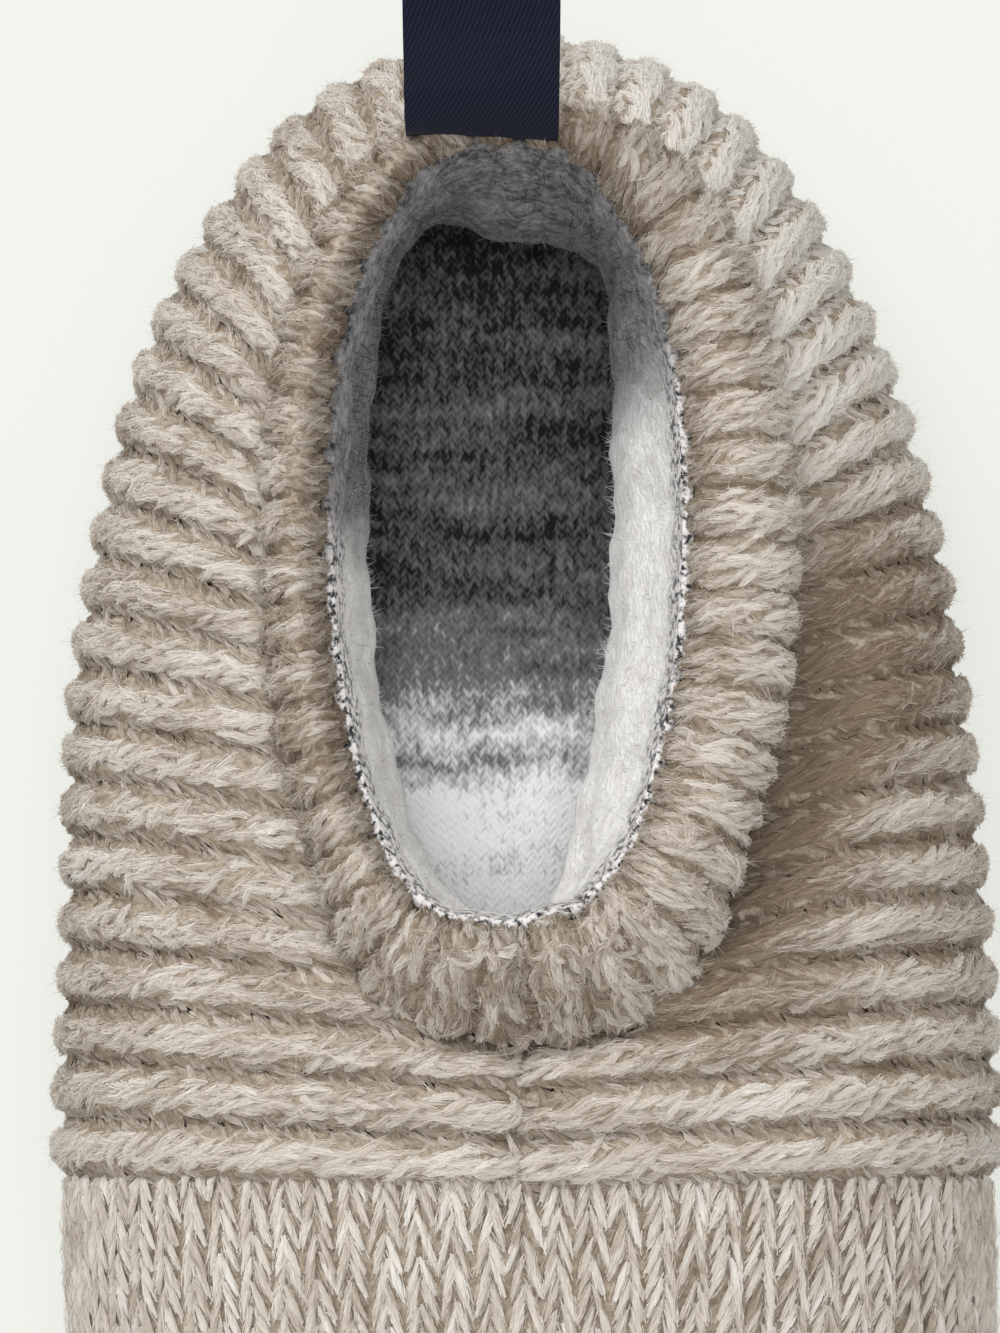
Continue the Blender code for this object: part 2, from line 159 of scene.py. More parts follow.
def catmull_rom(column: Array, place: Array) -> Array:
    """Reads a smooth curve through a column of values.

    Args:
        column: Values with one more before the first row and one after the last.
        place: Fractional rows to read.

    Returns:
        Values of the curve at those rows.
    """
    row = np.clip(np.floor(place).astype(int), 0, len(column) - 4)
    p0, p1, p2, p3 = (column[row + step] for step in range(4))
    t = place - row
    return 0.5 * (2 * p1 + (p2 - p0) * t + (2 * p0 - 5 * p1 + 4 * p2 - p3) * t ** 2
                  + (3 * p1 - p0 - 3 * p2 + p3) * t ** 3)


def unit(vectors: Array) -> Array:
    """Scales vectors to length 1."""
    return vectors / np.maximum(np.linalg.norm(vectors, axis=-1, keepdims=True), 1e-9)


def arc_length(points: Array) -> Array:
    """Gives the length along a line of points at each of them."""
    return np.concatenate([[0.0], np.cumsum(np.linalg.norm(np.diff(points, axis=0), axis=1))])


def surface_normal(surface: Surface, across: Array, along: Array, step: Span) -> Array:
    """Works out a surface's outward normals from small steps over it.

    Args:
        surface: Surface with the slipper's outside on the left of its along direction.
        across: First parameter of the places.
        along: Second parameter of the places.
        step: Step in each parameter.

    Returns:
        Unit normals at the places.
    """
    d_across = surface(across + step[0], along) - surface(across - step[0], along)
    d_along = surface(across, along + step[1]) - surface(across, along - step[1])
    return unit(np.cross(d_along, d_across))


@dataclass
class SlipperForm:
    """Shape of the knitted wall, by signed length round the outline from the heel and share up the wall.

    The length is positive along the inner side and negative along the outer side.
    """

    gap: float = 0.3
    sole_thickness: float = 4.0
    sole_inset: float = 8.0
    sole_margin: float = 0.8
    wall: float = 3.2
    wall_foot_inset: float = 7.5
    dome_power: float = 2.15
    toe_spring: float = 5.0
    toe_spring_start: float = 207.0
    arch_lift: float = 1.6
    arch_start: float = 80.0
    arch_end: float = 150.0
    arch_reach: float = 38.0
    axis_bend_start: float = 97.0
    opening_back: float = 12.6
    opening_centre: float = 57.9
    opening_front: float = 105.6
    opening_half_width: float = 26.6
    opening_shift: float = 1.2
    opening_power: float = 2.3
    rows_per_section: int = 40
    rim_halvings: int = 40

    def __post_init__(self) -> None:
        """Tabulates both sides' stations and finds the form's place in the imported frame."""
        low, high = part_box("pull_loop")
        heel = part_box("outsole")[1].y / MM + self.sole_inset - self.sole_margin
        self.origin = np.array([(low.x + high.x) / 2 / MM, heel])
        place = np.linspace(0, LAST_ROW, self.rows_per_section * LAST_ROW + 1)
        edge = self._column("edge", place)
        outlines = {side: self._outline(side, place) for side in Side}
        steps = [np.hypot(np.diff(x), np.diff(edge)) for x in outlines.values()]
        self.lengths = np.concatenate([[0.0], np.cumsum(np.mean(steps, axis=0))])
        self.edges = edge
        self.axis = np.minimum(self._column("axis", place), SECTIONS[LAST_ROW].axis)
        pole = self.axis >= SECTIONS[LAST_ROW].axis
        self.crown = np.where(pole, SECTIONS[LAST_ROW].crown, self._column("crown", place))
        self.widest = self._column("widest", place)
        self.outline = outlines
        self.rim = {side: self._opening(side) for side in Side}
        self.tip_length = float(np.interp(self.opening_front - self.gap, self.axis, self.lengths))
        self.whole_length = float(self.lengths[-1])

    @staticmethod
    def _column(name: str, place: Array) -> Array:
        """Reads a column that runs the same on both sides."""
        values = [getattr(section, name) for section in SECTIONS]
        return catmull_rom(np.array([values[1], *values, values[-2]]), place)

    @staticmethod
    def _outline(side: Side, place: Array) -> Array:
        """Reads the outline's sideways place, which runs on round the heel and the toe.

        Args:
            side: Side of the foot.
            place: Places between the sections.

        Returns:
            Places in X.
        """
        inner = [section.inner for section in SECTIONS]
        outer = [-section.outer for section in SECTIONS]
        here, there = (inner, outer) if side is Side.INNER else (outer, inner)
        return catmull_rom(np.array([there[1], *here, there[-2]]), place)

    def axis_x(self, forward: Array) -> Array:
        """Gives the sideways place of the middle line.

        Args:
            forward: Distances from the heel.

        Returns:
            Places in X.
        """
        tip = SECTIONS[LAST_ROW]
        bend_end = 2 * tip.edge - self.axis_bend_start
        return tip.inner * smooth_step(forward, self.axis_bend_start, bend_end) * 2

    def lift(self, x: Array, forward: Array) -> Array:
        """Gives the height of the sole's underside over the floor.

        Args:
            x: Places in X.
            forward: Distances from the heel.

        Returns:
            Heights.
        """
        tip = SECTIONS[LAST_ROW].edge
        spring = np.maximum((forward - self.toe_spring_start) / (tip - self.toe_spring_start), 0) ** 2
        middle = (self.arch_start + self.arch_end) / 2
        along = between(forward, (self.arch_start, middle), (middle, self.arch_end))
        return self.toe_spring * spring + self.arch_lift * along * smooth_step(x, 0, self.arch_reach)

    def opening_width(self, forward: Array) -> Array:
        """Gives the half width of the opening, seen from above.

        Args:
            forward: Distances from the heel.

        Returns:
            Half widths, 0 outside the opening.
        """
        ahead, behind = self.opening_front - self.opening_centre, self.opening_centre - self.opening_back
        reach = np.where(forward > self.opening_centre, ahead, behind)
        share = np.clip(np.abs(forward - self.opening_centre) / reach, 0.0, 1.0)
        return self.opening_half_width * (1 - share ** self.opening_power) ** (1 / self.opening_power)

    def _opening(self, side: Side) -> Array:
        """Finds the distance from the middle line to the opening's rim at every tabulated station.

        Args:
            side: Side of the foot.

        Returns:
            Distances, one for each station.
        """
        start_x = self.axis_x(self.axis)
        run_x, run_f = self.outline[side] - start_x, self.edges - self.axis
        low, high = np.zeros_like(run_x), np.ones_like(run_x)
        for _ in range(self.rim_halvings):
            middle = (low + high) / 2
            half = self.opening_width(self.axis + run_f * middle)
            off = np.abs(start_x + run_x * middle - self.opening_shift * half / self.opening_half_width)
            low, high = np.where(off < half, middle, low), np.where(off < half, high, middle)
        reach = np.hypot(run_x, run_f)
        return np.where(self.axis > self.opening_front - self.gap, 0.0, low * reach)

    def station(self, length: Array) -> dict[str, Array]:
        """Reads the stations at signed lengths: start, direction, reach, crown, widest height and rim.

        Args:
            length: Signed lengths round the outline.

        Returns:
            Values of the stations by name.
        """
        size, inner = np.abs(length), np.asarray(length) >= 0

        def both(table: dict[Side, Array]) -> Array:
            """Reads a table that differs from side to side."""
            values = [np.interp(size, self.lengths, table[side]) for side in Side]
            return np.where(inner, values[0], values[1])

        forward = np.interp(size, self.lengths, self.axis)
        start_x = self.axis_x(forward)
        run_x = both(self.outline) - start_x
        run_f = np.interp(size, self.lengths, self.edges) - forward
        reach = np.hypot(run_x, run_f)
        return {"x": start_x, "forward": forward, "dx": run_x / reach, "df": run_f / reach, "reach": reach,
                "crown": np.interp(size, self.lengths, self.crown), "rim": both(self.rim),
                "widest": np.interp(size, self.lengths, self.widest)}

    def place(self, station: dict[str, Array], radius: Array, height: Array) -> Array:
        """Gives the points at distances from the middle line and heights over the sole.

        Args:
            station: Values of the stations.
            radius: Distances from the middle line.
            height: Heights over the sole's underside.

        Returns:
            Points.
        """
        x = station["x"] + station["dx"] * radius
        forward = station["forward"] + station["df"] * radius
        z = height + self.lift(x, forward)
        return np.stack(np.broadcast_arrays(x + self.origin[0], self.origin[1] - forward, z), axis=-1)

    def angle(self, reach: Array, rim: Array, share: Array) -> Array:
        """Gives the angle round the wall's section, from its foot up to the rim or the middle line."""
        top = np.arccos(np.minimum((rim / reach) ** (self.dome_power / 2), 1.0))
        return -math.pi / 2 + np.clip(share, 0, 1) * (top + math.pi / 2)

    def point(self, length: Array, share: Array, inward: float = 0.0,
              foot_inset: float | None = None) -> Array:
        """Gives points of the wall.

        Args:
            length: Signed lengths round the outline.
            share: Shares up the wall, from its foot to the rim or the middle line.
            inward: Distance of this face inside the outer one.
            foot_inset: How far the wall turns in at its foot.

        Returns:
            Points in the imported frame.
        """
        inset = self.sole_inset if foot_inset is None else foot_inset
        station = self.station(length)
        reach, crown = station["reach"] - inward, station["crown"] - inward
        foot, widest = self.sole_thickness + self.gap, station["widest"]
        angle = self.angle(reach, station["rim"], share)
        side, up = np.maximum(np.cos(angle), 0.0), np.sin(angle)
        dome = np.maximum(up, 0.0) ** (2 / self.dome_power)
        radius = np.where(angle < 0, reach - inset + inset * side, reach * side ** (2 / self.dome_power))
        height = np.where(angle < 0, widest + (widest - foot) * up, widest + (crown - widest) * dome)
        return self.place(station, radius, height)


def linear(code: str) -> tuple[float, float, float, float]:
    """Turns an sRGB hex colour to linear RGBA.

    Args:
        code: Colour as #rrggbb.

    Returns:
        Red, green, blue and alpha.
    """
    values = [int(code[start:start + 2], 16) / 255 for start in (1, 3, 5)]
    red, green, blue = (v / 12.92 if v <= 0.04045 else ((v + 0.055) / 1.055) ** 2.4 for v in values)
    return red, green, blue, 1.0


def add_node(tree: bpy.types.NodeTree, kind: str, inputs: dict[str | int, object] | None = None,
             **settings: object) -> bpy.types.Node:
    """Adds a node with its settings, input values and links.

    Args:
        tree: Node tree to add to.
        kind: Node type's name.
        inputs: Value or output socket for each input, by name or number.
        settings: Properties of the node.

    Returns:
        The new node.
    """
    node = tree.nodes.new(kind)
    for name, value in settings.items():
        setattr(node, name, value)
    for key, value in (inputs or {}).items():
        if isinstance(value, Socket):
            tree.links.new(value, node.inputs[key])
        else:
            node.inputs[key].default_value = value
    return node


class Shading:
    """Material in the making, with short ways to add the nodes that the finishes share."""

    def __init__(self, name: str) -> None:
        """Makes the material with its Principled shader."""
        self.material = bpy.data.materials.new(name)
        self.material.use_nodes = True
        self.tree = self.material.node_tree
        self.shader = self.tree.nodes["Principled BSDF"]

    def place(self) -> Socket:
        """Reads the piece's own coordinates."""
        return add_node(self.tree, "ShaderNodeTexCoord").outputs["Object"]

    def attribute(self, name: str) -> Socket:
        """Reads a value that the mesh carries."""
        return add_node(self.tree, "ShaderNodeAttribute", attribute_name=name).outputs["Fac"]

    def flat_map(self, name: str) -> Socket:
        """Reads a flat map that the mesh carries."""
        return add_node(self.tree, "ShaderNodeUVMap", uv_map=name).outputs["UV"]

    def axes(self, place: Socket) -> tuple[Socket, Socket]:
        """Splits coordinates into X, across the foot, and Y, along it."""
        split = add_node(self.tree, "ShaderNodeSeparateXYZ", {0: place})
        return split.outputs["X"], split.outputs["Y"]

    def mapped(self, place: Socket, **change: Point) -> Socket:
        """Stretches or turns coordinates."""
        return add_node(self.tree, "ShaderNodeMapping", {"Vector": place, **change}).outputs["Vector"]

    def math(self, operation: str, *values: Socket | float) -> Socket:
        """Works out one sum."""
        sum_of = dict(enumerate(values))
        return add_node(self.tree, "ShaderNodeMath", sum_of, operation=operation).outputs[0]

    def mix(self, kind: str, factor: Socket | float, first: Socket, second: Socket) -> Socket:
        """Mixes two values or colours of a kind."""
        both = {"Factor": factor, "A": first, "B": second}
        return add_node(self.tree, "ShaderNodeMix", both, data_type=kind).outputs["Result"]

    def noise(self, place: Socket, scale: float, detail: float, roughness: float = 0.5) -> Socket:
        """Adds soft noise."""
        look = {"Vector": place, "Scale": scale, "Detail": detail, "Roughness": roughness}
        return add_node(self.tree, "ShaderNodeTexNoise", look).outputs["Fac"]

    def ramp(self, value: Socket, *stops: tuple[float, str]) -> Socket:
        """Turns a value to colours, by stops of a place and an sRGB colour each.

        Args:
            value: Value to colour.
            stops: Places and colours.

        Returns:
            Colour.
        """
        node = add_node(self.tree, "ShaderNodeValToRGB", {"Fac": value})
        elements = node.color_ramp.elements
        while len(elements) < len(stops):
            elements.new(0.5)
        for element, (place, code) in zip(elements, stops):
            element.position = place
            element.color = linear(code)
        return node.outputs["Color"]

    def bump(self, height: Socket, strength: float, relief: float) -> None:
        """Raises the shaded surface by up to a distance in millimetres."""
        node = add_node(self.tree, "ShaderNodeBump", {
            "Height": height, "Strength": strength, "Distance": relief * MM})
        self.tree.links.new(node.outputs["Normal"], self.shader.inputs["Normal"])

    def finished(self, colour: Socket, roughness: float, specular: float = 0.1, sheen: float = 0.0,
                 through: float = 0.0) -> bpy.types.Material:
        """Sets the shader's colour and plain values.

        Args:
            colour: Colour of the surface.
            roughness: Roughness of the surface.
            specular: How much it mirrors.
            sheen: How much its nap shines at the edges.
            through: Share of light that passes through, which softens the shaded side of fibres.

        Returns:
            The finished material.
        """
        inputs = self.shader.inputs
        self.tree.links.new(colour, inputs["Base Color"])
        inputs["Roughness"].default_value = roughness
        inputs["Specular IOR Level"].default_value = specular
        inputs["Sheen Weight"].default_value = sheen
        if through:
            passed = add_node(self.tree, "ShaderNodeBsdfTranslucent", {"Color": colour}).outputs[0]
            both = {0: through, 1: self.shader.outputs[0], 2: passed}
            mixed = add_node(self.tree, "ShaderNodeMixShader", both)
            self.tree.links.new(mixed.outputs[0], self.tree.nodes["Material Output"].inputs["Surface"])
        return self.material


def per_mm(size: float) -> float:
    """Gives the scale of a texture whose features are of a size in millimetres."""
    return 1 / (size * MM)


@dataclass(frozen=True)
class WoolYarn:
    """Hand-spun oatmeal wool: pale and brown fibres twisted together, so each strand is streaked."""

    name: str = "oatmeal_wool_yarn"
    brown: str = "#9b8976"
    oatmeal: str = "#ddd5cb"
    cream: str = "#f2eee8"
    streak_length: float = 4.0
    streaks_around: float = 7.0
    streak_contrast: float = 0.6
    fibre_relief: float = 0.22
    roughness: float = 0.92
    sheen: float = 0.2
    through: float = 0.4

    def material(self) -> bpy.types.Material:
        """Makes the yarn's material, which reads the strand's own map and tint.

        Returns:
            The finished material.
        """
        shading = Shading(self.name)
        stretch = (YarnBatch.MAP_LENGTH / self.streak_length, self.streaks_around, 1.0)
        strand = shading.mapped(shading.flat_map(YarnBatch.MAP), Scale=stretch)
        fibres = shading.noise(strand, 1.0, 3.0, 0.65)
        streaks = shading.math("MULTIPLY_ADD", fibres, self.streak_contrast, -self.streak_contrast / 2)
        shade = shading.math("ADD", shading.attribute(YarnBatch.TINT), streaks)
        shading.bump(fibres, 0.4, self.fibre_relief)
        colour = shading.ramp(shade, (0.05, self.brown), (0.5, self.oatmeal), (0.95, self.cream))
        return shading.finished(colour, self.roughness, sheen=self.sheen, through=self.through)


@dataclass(frozen=True)
class WoolGround:
    """Back of the knitting between the strands: the same wool, matted, painted darker and browner for the
    shade there.
    """

    name: str = "matted_wool_ground"
    brown: str = "#7a6c5e"
    oatmeal: str = "#ada191"
    clump: float = 1.1
    relief: float = 0.5
    roughness: float = 0.96

    def material(self) -> bpy.types.Material:
        """Makes the ground's material on the piece's own coordinates.

        Returns:
            The finished material.
        """
        shading = Shading(self.name)
        clumps = shading.noise(shading.place(), per_mm(self.clump), 4.0, 0.7)
        shading.bump(clumps, 0.9, self.relief)
        colour = shading.ramp(clumps, (0.35, self.brown), (0.65, self.oatmeal))
        return shading.finished(colour, self.roughness)


@dataclass(frozen=True)
class WoolFuzz:
    """Single fibres round and off the yarn: brown to cream and matt, they soften every edge."""

    name: str = "loose_wool_fibre"
    brown: str = "#a4927e"
    oatmeal: str = "#e2dad0"
    cream: str = "#f4f1ec"
    roughness: float = 0.95
    specular: float = 0.05
    through: float = 0.5

    def material(self) -> bpy.types.Material:
        """Makes the fibres' material, which reads each fibre's tint.

        Returns:
            The finished material.
        """
        shading = Shading(self.name)
        tint = shading.attribute(YarnBatch.TINT)
        colour = shading.ramp(tint, (0.05, self.brown), (0.5, self.oatmeal), (0.95, self.cream))
        return shading.finished(colour, self.roughness, self.specular, through=self.through)


@dataclass(frozen=True)
class MarlKnit:
    """Fine grey marl jersey: black and white fibres in flecks along the stitch columns, in soft bands;
    darker marl and painted shadow towards the heel.
    """

    name: str = "grey_marl_jersey"
    black: str = "#202022"
    grey: str = "#807f81"
    white: str = "#ffffff"
    column: float = 1.3
    row: float = 0.95
    slant: float = -1.7
    fuzz: float = 0.6
    fuzz_stretch: Point = (1.0, 0.4, 1.0)
    blotch: float = 7.0
    stripe: float = 3.5
    stripe_stretch: Point = (0.15, 1.0, 1.0)
    wobble: float = 6.0
    band_run: float = 120.0
    # Greys along the foot: pale stripes in front, darker towards the heel, partly a darker marl and partly
    # painted shadow.
    stripes_and_heel_shadow: tuple[tuple[float, str], ...] = (
        (0.0, "#eaeaea"), (0.38, "#eaeaea"), (0.42, "#b4b4b4"), (0.45, "#dcdcdc"),
        (0.50, "#a0a0a0"), (0.57, "#7a7a7a"), (0.72, "#5e5e5e"), (0.95, "#444444"))
    fleck_strength: float = 0.14
    fuzz_strength: float = 0.6
    leg_strength: float = 0.2
    blotch_strength: float = 0.3
    stripe_strength: float = 0.5
    relief: float = 0.4
    roughness: float = 0.95

    def material(self) -> bpy.types.Material:
        """Makes the jersey's material: flecks on the piece's own coordinates, bands and painted shadow along
        the foot.

        Returns:
            The finished material.
        """
        shading = Shading(self.name)
        place = shading.place()
        x, y = shading.axes(place)
        column = shading.math("MULTIPLY", x, per_mm(self.column))
        course = shading.math("MULTIPLY", y, per_mm(self.row))
        slanted = shading.math("MULTIPLY_ADD", shading.math("PINGPONG", column, 0.5), self.slant, course)
        cell = add_node(shading.tree, "ShaderNodeCombineXYZ", {
            "X": shading.math("FLOOR", shading.math("MULTIPLY", column, 2.0)),
            "Y": shading.math("FLOOR", slanted)})
        fleck = add_node(shading.tree, "ShaderNodeTexWhiteNoise", {"Vector": cell.outputs[0]},
                         noise_dimensions="2D").outputs["Value"]
        leg = shading.math("PINGPONG", slanted, 0.5)
        fuzz = shading.noise(shading.mapped(place, Scale=self.fuzz_stretch), per_mm(self.fuzz), 2.0, 0.6)
        stripe = shading.noise(shading.mapped(place, Scale=self.stripe_stretch), per_mm(self.stripe), 2.0)
        blotch = shading.noise(place, per_mm(self.blotch), 2.0)
        wobble = shading.noise(place, per_mm(self.wobble), 1.0)
        bent = shading.math("MULTIPLY_ADD", wobble, self.wobble * MM, y)
        # Stripes and painted shadow along the foot.
        shade = shading.ramp(shading.math("MULTIPLY", bent, per_mm(self.band_run)), *self.stripes_and_heel_shadow)
        for source, strength, middle in ((fleck, self.fleck_strength, 0.5), (fuzz, self.fuzz_strength, 0.5),
                                         (leg, self.leg_strength, 0.25), (blotch, self.blotch_strength, 0.5),
                                         (stripe, self.stripe_strength, 0.5)):
            centred = shading.math("MULTIPLY_ADD", source, strength, -strength * middle)
            shade = shading.math("ADD", shade, centred)
        shading.bump(shading.math("ADD", leg, fuzz), 0.7, self.relief)
        colour = shading.ramp(shade, (0.0, self.black), (0.4, self.grey), (0.8, self.white))
        return shading.finished(colour, self.roughness)


@dataclass(frozen=True)
class FleeceLining:
    """Brushed pale-grey fleece: a soft nap with no gloss, flecked black and white along its knitted edge, in
    painted shadow behind the heel.
    """

    name: str = "brushed_grey_fleece"
    black: str = "#2c2c2e"
    # This grey serves both the edge's marl flecks and the painted shadow behind the heel.
    shaded: str = "#8f8d8d"
    grey: str = "#d0cdcb"
    pale: str = "#f6f5f3"
    fleck: float = 0.75
    nap: float = 2.6
    nap_share: float = 0.6
    relief: float = 0.4
    roughness: float = 0.97
    sheen: float = 0.2

    EDGE = "edge"
    # Painted shadow behind the heel: its edge's slant, and its rise in millimetres along Y.
    HEEL_SHADOW_SLANT = -0.5
    HEEL_SHADOW_RISE = (71.0, 85.0)

    def material(self) -> bpy.types.Material:
        """Makes the fleece's material, with painted shadow behind the heel, which reads how near the knitted
        edge is.

        Returns:
            The finished material.
        """
        shading = Shading(self.name)
        place = shading.place()
        nap = shading.noise(place, per_mm(self.nap), 5.0, 0.7)
        flecks = shading.noise(place, per_mm(self.fleck), 2.0, 0.6)
        fleece = shading.ramp(nap, (0.3, self.grey), (0.65, self.pale))
        marl = shading.ramp(flecks, (0.38, self.black), (0.45, self.shaded), (0.56, self.grey))
        bright = shading.mix("RGBA", shading.attribute(self.EDGE), fleece, marl)
        mottled = shading.mix("FLOAT", self.nap_share, flecks, nap)
        # Painted shadow: dark marl behind the heel, up to a slanted edge.
        dark = shading.ramp(mottled, (0.41, self.black), (0.62, self.shaded))
        x, y = shading.axes(place)
        heel = add_node(shading.tree, "ShaderNodeMapRange", {
            "Value": shading.math("MULTIPLY_ADD", x, self.HEEL_SHADOW_SLANT, y),
            "From Min": self.HEEL_SHADOW_RISE[0] * MM, "From Max": self.HEEL_SHADOW_RISE[1] * MM,
            "To Min": 0.0, "To Max": 1.0}, interpolation_type="SMOOTHSTEP")
        shading.bump(shading.math("ADD", nap, flecks), 0.8, self.relief)
        colour = shading.mix("RGBA", heel.outputs["Result"], bright, dark)
        return shading.finished(colour, self.roughness, sheen=self.sheen)


@dataclass(frozen=True)
class TwillTape:
    """Navy cotton twill tape: fine slanted ribs that catch a little light, with firm woven edges."""

    name: str = "navy_cotton_twill"
    thread: str = "#121b38"
    valley: str = "#070a15"
    rib_spacing: float = 0.48
    rib_slant: float = math.radians(16)
    relief: float = 0.2
    roughness: float = 0.72
    specular: float = 0.12
    sheen: float = 0.03

    def material(self) -> bpy.types.Material:
        """Makes the tape's material on its woven map, with the ribs rising to the right.

        Returns:
            The finished material.
        """
        shading = Shading(self.name)
        turned = shading.mapped(shading.flat_map(TapeLoop.MAP), Rotation=(0.0, 0.0, self.rib_slant))
        ribs = add_node(shading.tree, "ShaderNodeTexWave", {
            "Vector": turned, "Scale": math.pi / 10 / self.rib_spacing, "Distortion": 0.6, "Detail": 2.0},
            wave_type="BANDS", bands_direction="X").outputs["Fac"]
        shading.bump(ribs, 0.8, self.relief)
        colour = shading.ramp(ribs, (0.15, self.valley), (0.8, self.thread))
        return shading.finished(colour, self.roughness, self.specular, self.sheen)


@dataclass(frozen=True)
class SoftSuede:
    """Taupe suede sole: a short brushed nap that lies in lighter and darker patches, without gloss."""

    name: str = "taupe_suede"
    dark: str = "#6d5f52"
    light: str = "#8f8071"
    patch: float = 9.0
    nap: float = 0.6
    relief: float = 0.2
    roughness: float = 0.95
    sheen: float = 0.25

    def material(self) -> bpy.types.Material:
        """Makes the suede's material on the piece's own coordinates.

        Returns:
            The finished material.
        """
        shading = Shading(self.name)
        place = shading.place()
        patches = shading.noise(place, per_mm(self.patch), 6.0, 0.75)
        shading.bump(shading.noise(place, per_mm(self.nap), 2.0), 0.6, self.relief)
        colour = shading.ramp(patches, (0.35, self.dark), (0.65, self.light))
        return shading.finished(colour, self.roughness, sheen=self.sheen)


def wear(material: bpy.types.Material, *pieces: Piece) -> None:
    """Gives pieces one material."""
    for piece in pieces:
        piece.data.materials.clear()
        piece.data.materials.append(material)


def deselect() -> None:
    """Leaves nothing selected, so that an operator acts on the new piece alone."""
    bpy.ops.object.select_all(action="DESELECT")


def pick(piece: Piece) -> None:
    """Selects one piece alone for the operators that follow."""
    deselect()
    piece.select_set(True)
    bpy.context.view_layer.objects.active = piece


def lay_grid(name: str, columns: int, rows: int, surface: Surface) -> Piece:
    """Models a piece from a flat grid of cloth laid onto a surface.

    Args:
        name: Piece's name.
        columns: Faces across the grid.
        rows: Faces along the grid.
        surface: Points in millimetres for shares across and along the grid.

    Returns:
        The new piece, at the origin, with the grid's own flat map.
    """
    deselect()
    bpy.ops.mesh.primitive_grid_add(x_subdivisions=columns, y_subdivisions=rows, size=1.0)
    piece = bpy.context.active_object
    piece.name = piece.data.name = name
    flat = np.empty(len(piece.data.vertices) * 3)
    piece.data.vertices.foreach_get("co", flat)
    share = np.clip(flat.reshape(-1, 3) + 0.5, 0.0, 1.0)
    points = surface(share[:, 0], share[:, 1]) * MM
    piece.data.vertices.foreach_set("co", points.ravel())
    piece.data.update()
    return piece


def round_columns(half: Array, surface: Surface) -> tuple[int, Surface]:
    """Spreads a grid's columns from toe tip to toe tip round the heel.

    Args:
        half: Lengths of the columns along one side, from the heel.
        surface: Surface by signed length and share.

    Returns:
        Number of faces across the grid, and the surface by shares across and along it.
    """
    lengths = np.concatenate([-half[:0:-1], half])
    columns = len(lengths) - 1

    def laid(u: Array, v: Array) -> Array:
        """Reads the surface at the grid's own columns."""
        return surface(np.interp(u * columns, np.arange(columns + 1), lengths), v)

    return columns, laid


def close_seams(piece: Piece, distance: float, outside: bool) -> None:
    """Merges a laid grid's meeting edges.

    Args:
        piece: Piece to close.
        distance: Points closer than this are merged.
        outside: Whether to turn every face outwards, which suits a closed body.
    """
    pick(piece)
    bpy.ops.object.mode_set(mode="EDIT")
    bpy.ops.mesh.select_all(action="SELECT")
    bpy.ops.mesh.remove_doubles(threshold=distance * MM)
    bpy.ops.mesh.dissolve_degenerate(threshold=distance * MM)
    if outside:
        bpy.ops.mesh.normals_make_consistent(inside=False)
    bpy.ops.object.mode_set(mode="OBJECT")
    bpy.ops.object.shade_smooth()


def apply_modifier(piece: Piece, kind: str, **settings: object) -> None:
    """Adds a modifier with its settings and applies it.

    Args:
        piece: Piece to change.
        kind: Modifier's type.
        settings: Properties of the modifier.
    """
    pick(piece)
    modifier = piece.modifiers.new(kind.lower(), kind)
    for name, value in settings.items():
        setattr(modifier, name, value)
    bpy.ops.object.modifier_apply(modifier=modifier.name)


def mesh_piece(name: str, points: Array, corners: Array, counts: Array, tint: Array, facing: Array,
               strand_map: Array | None = None) -> Piece:
    """Joins many small shapes into one piece.

    Args:
        name: Piece's name.
        points: Points in millimetres.
        corners: Point numbers of every face's corners, one face after another.
        counts: Number of corners of each face.
        tint: Tint of every point.
        facing: Direction that every point faces, which evens the light over crowded fibres.
        strand_map: Map place of every corner.

    Returns:
        The new piece.
    """
    mesh = bpy.data.meshes.new(name)
    mesh.vertices.add(len(points))
    mesh.vertices.foreach_set("co", (points * MM).astype(np.float32).ravel())
    mesh.loops.add(len(corners))
    mesh.loops.foreach_set("vertex_index", corners.astype(np.int32))
    mesh.polygons.add(len(counts))
    starts = np.concatenate([[0], np.cumsum(counts)[:-1]]).astype(np.int32)
    mesh.polygons.foreach_set("loop_start", starts)
    mesh.update(calc_edges=True)
    tints = mesh.attributes.new(YarnBatch.TINT, "FLOAT", "POINT")
    tints.data.foreach_set("value", tint.astype(np.float32))
    if strand_map is not None:
        layer = mesh.uv_layers.new(name=YarnBatch.MAP)
        layer.uv.foreach_set("vector", strand_map.astype(np.float32).ravel())
    mesh.shade_smooth()
    mesh.normals_split_custom_set_from_vertices(facing.reshape(-1, 3).tolist())
    piece = bpy.data.objects.new(name, mesh)
    bpy.context.scene.collection.objects.link(piece)
    return piece


def blade_piece(name: str, points: Array, tint: Array, facing: Array) -> Piece:
    """Joins single tapered fibres of three points each into one piece."""
    count = tint.size
    return mesh_piece(name, points.reshape(-1, 3), np.arange(3 * count), np.full(count, 3),
                      np.repeat(tint.ravel(), 3), facing)


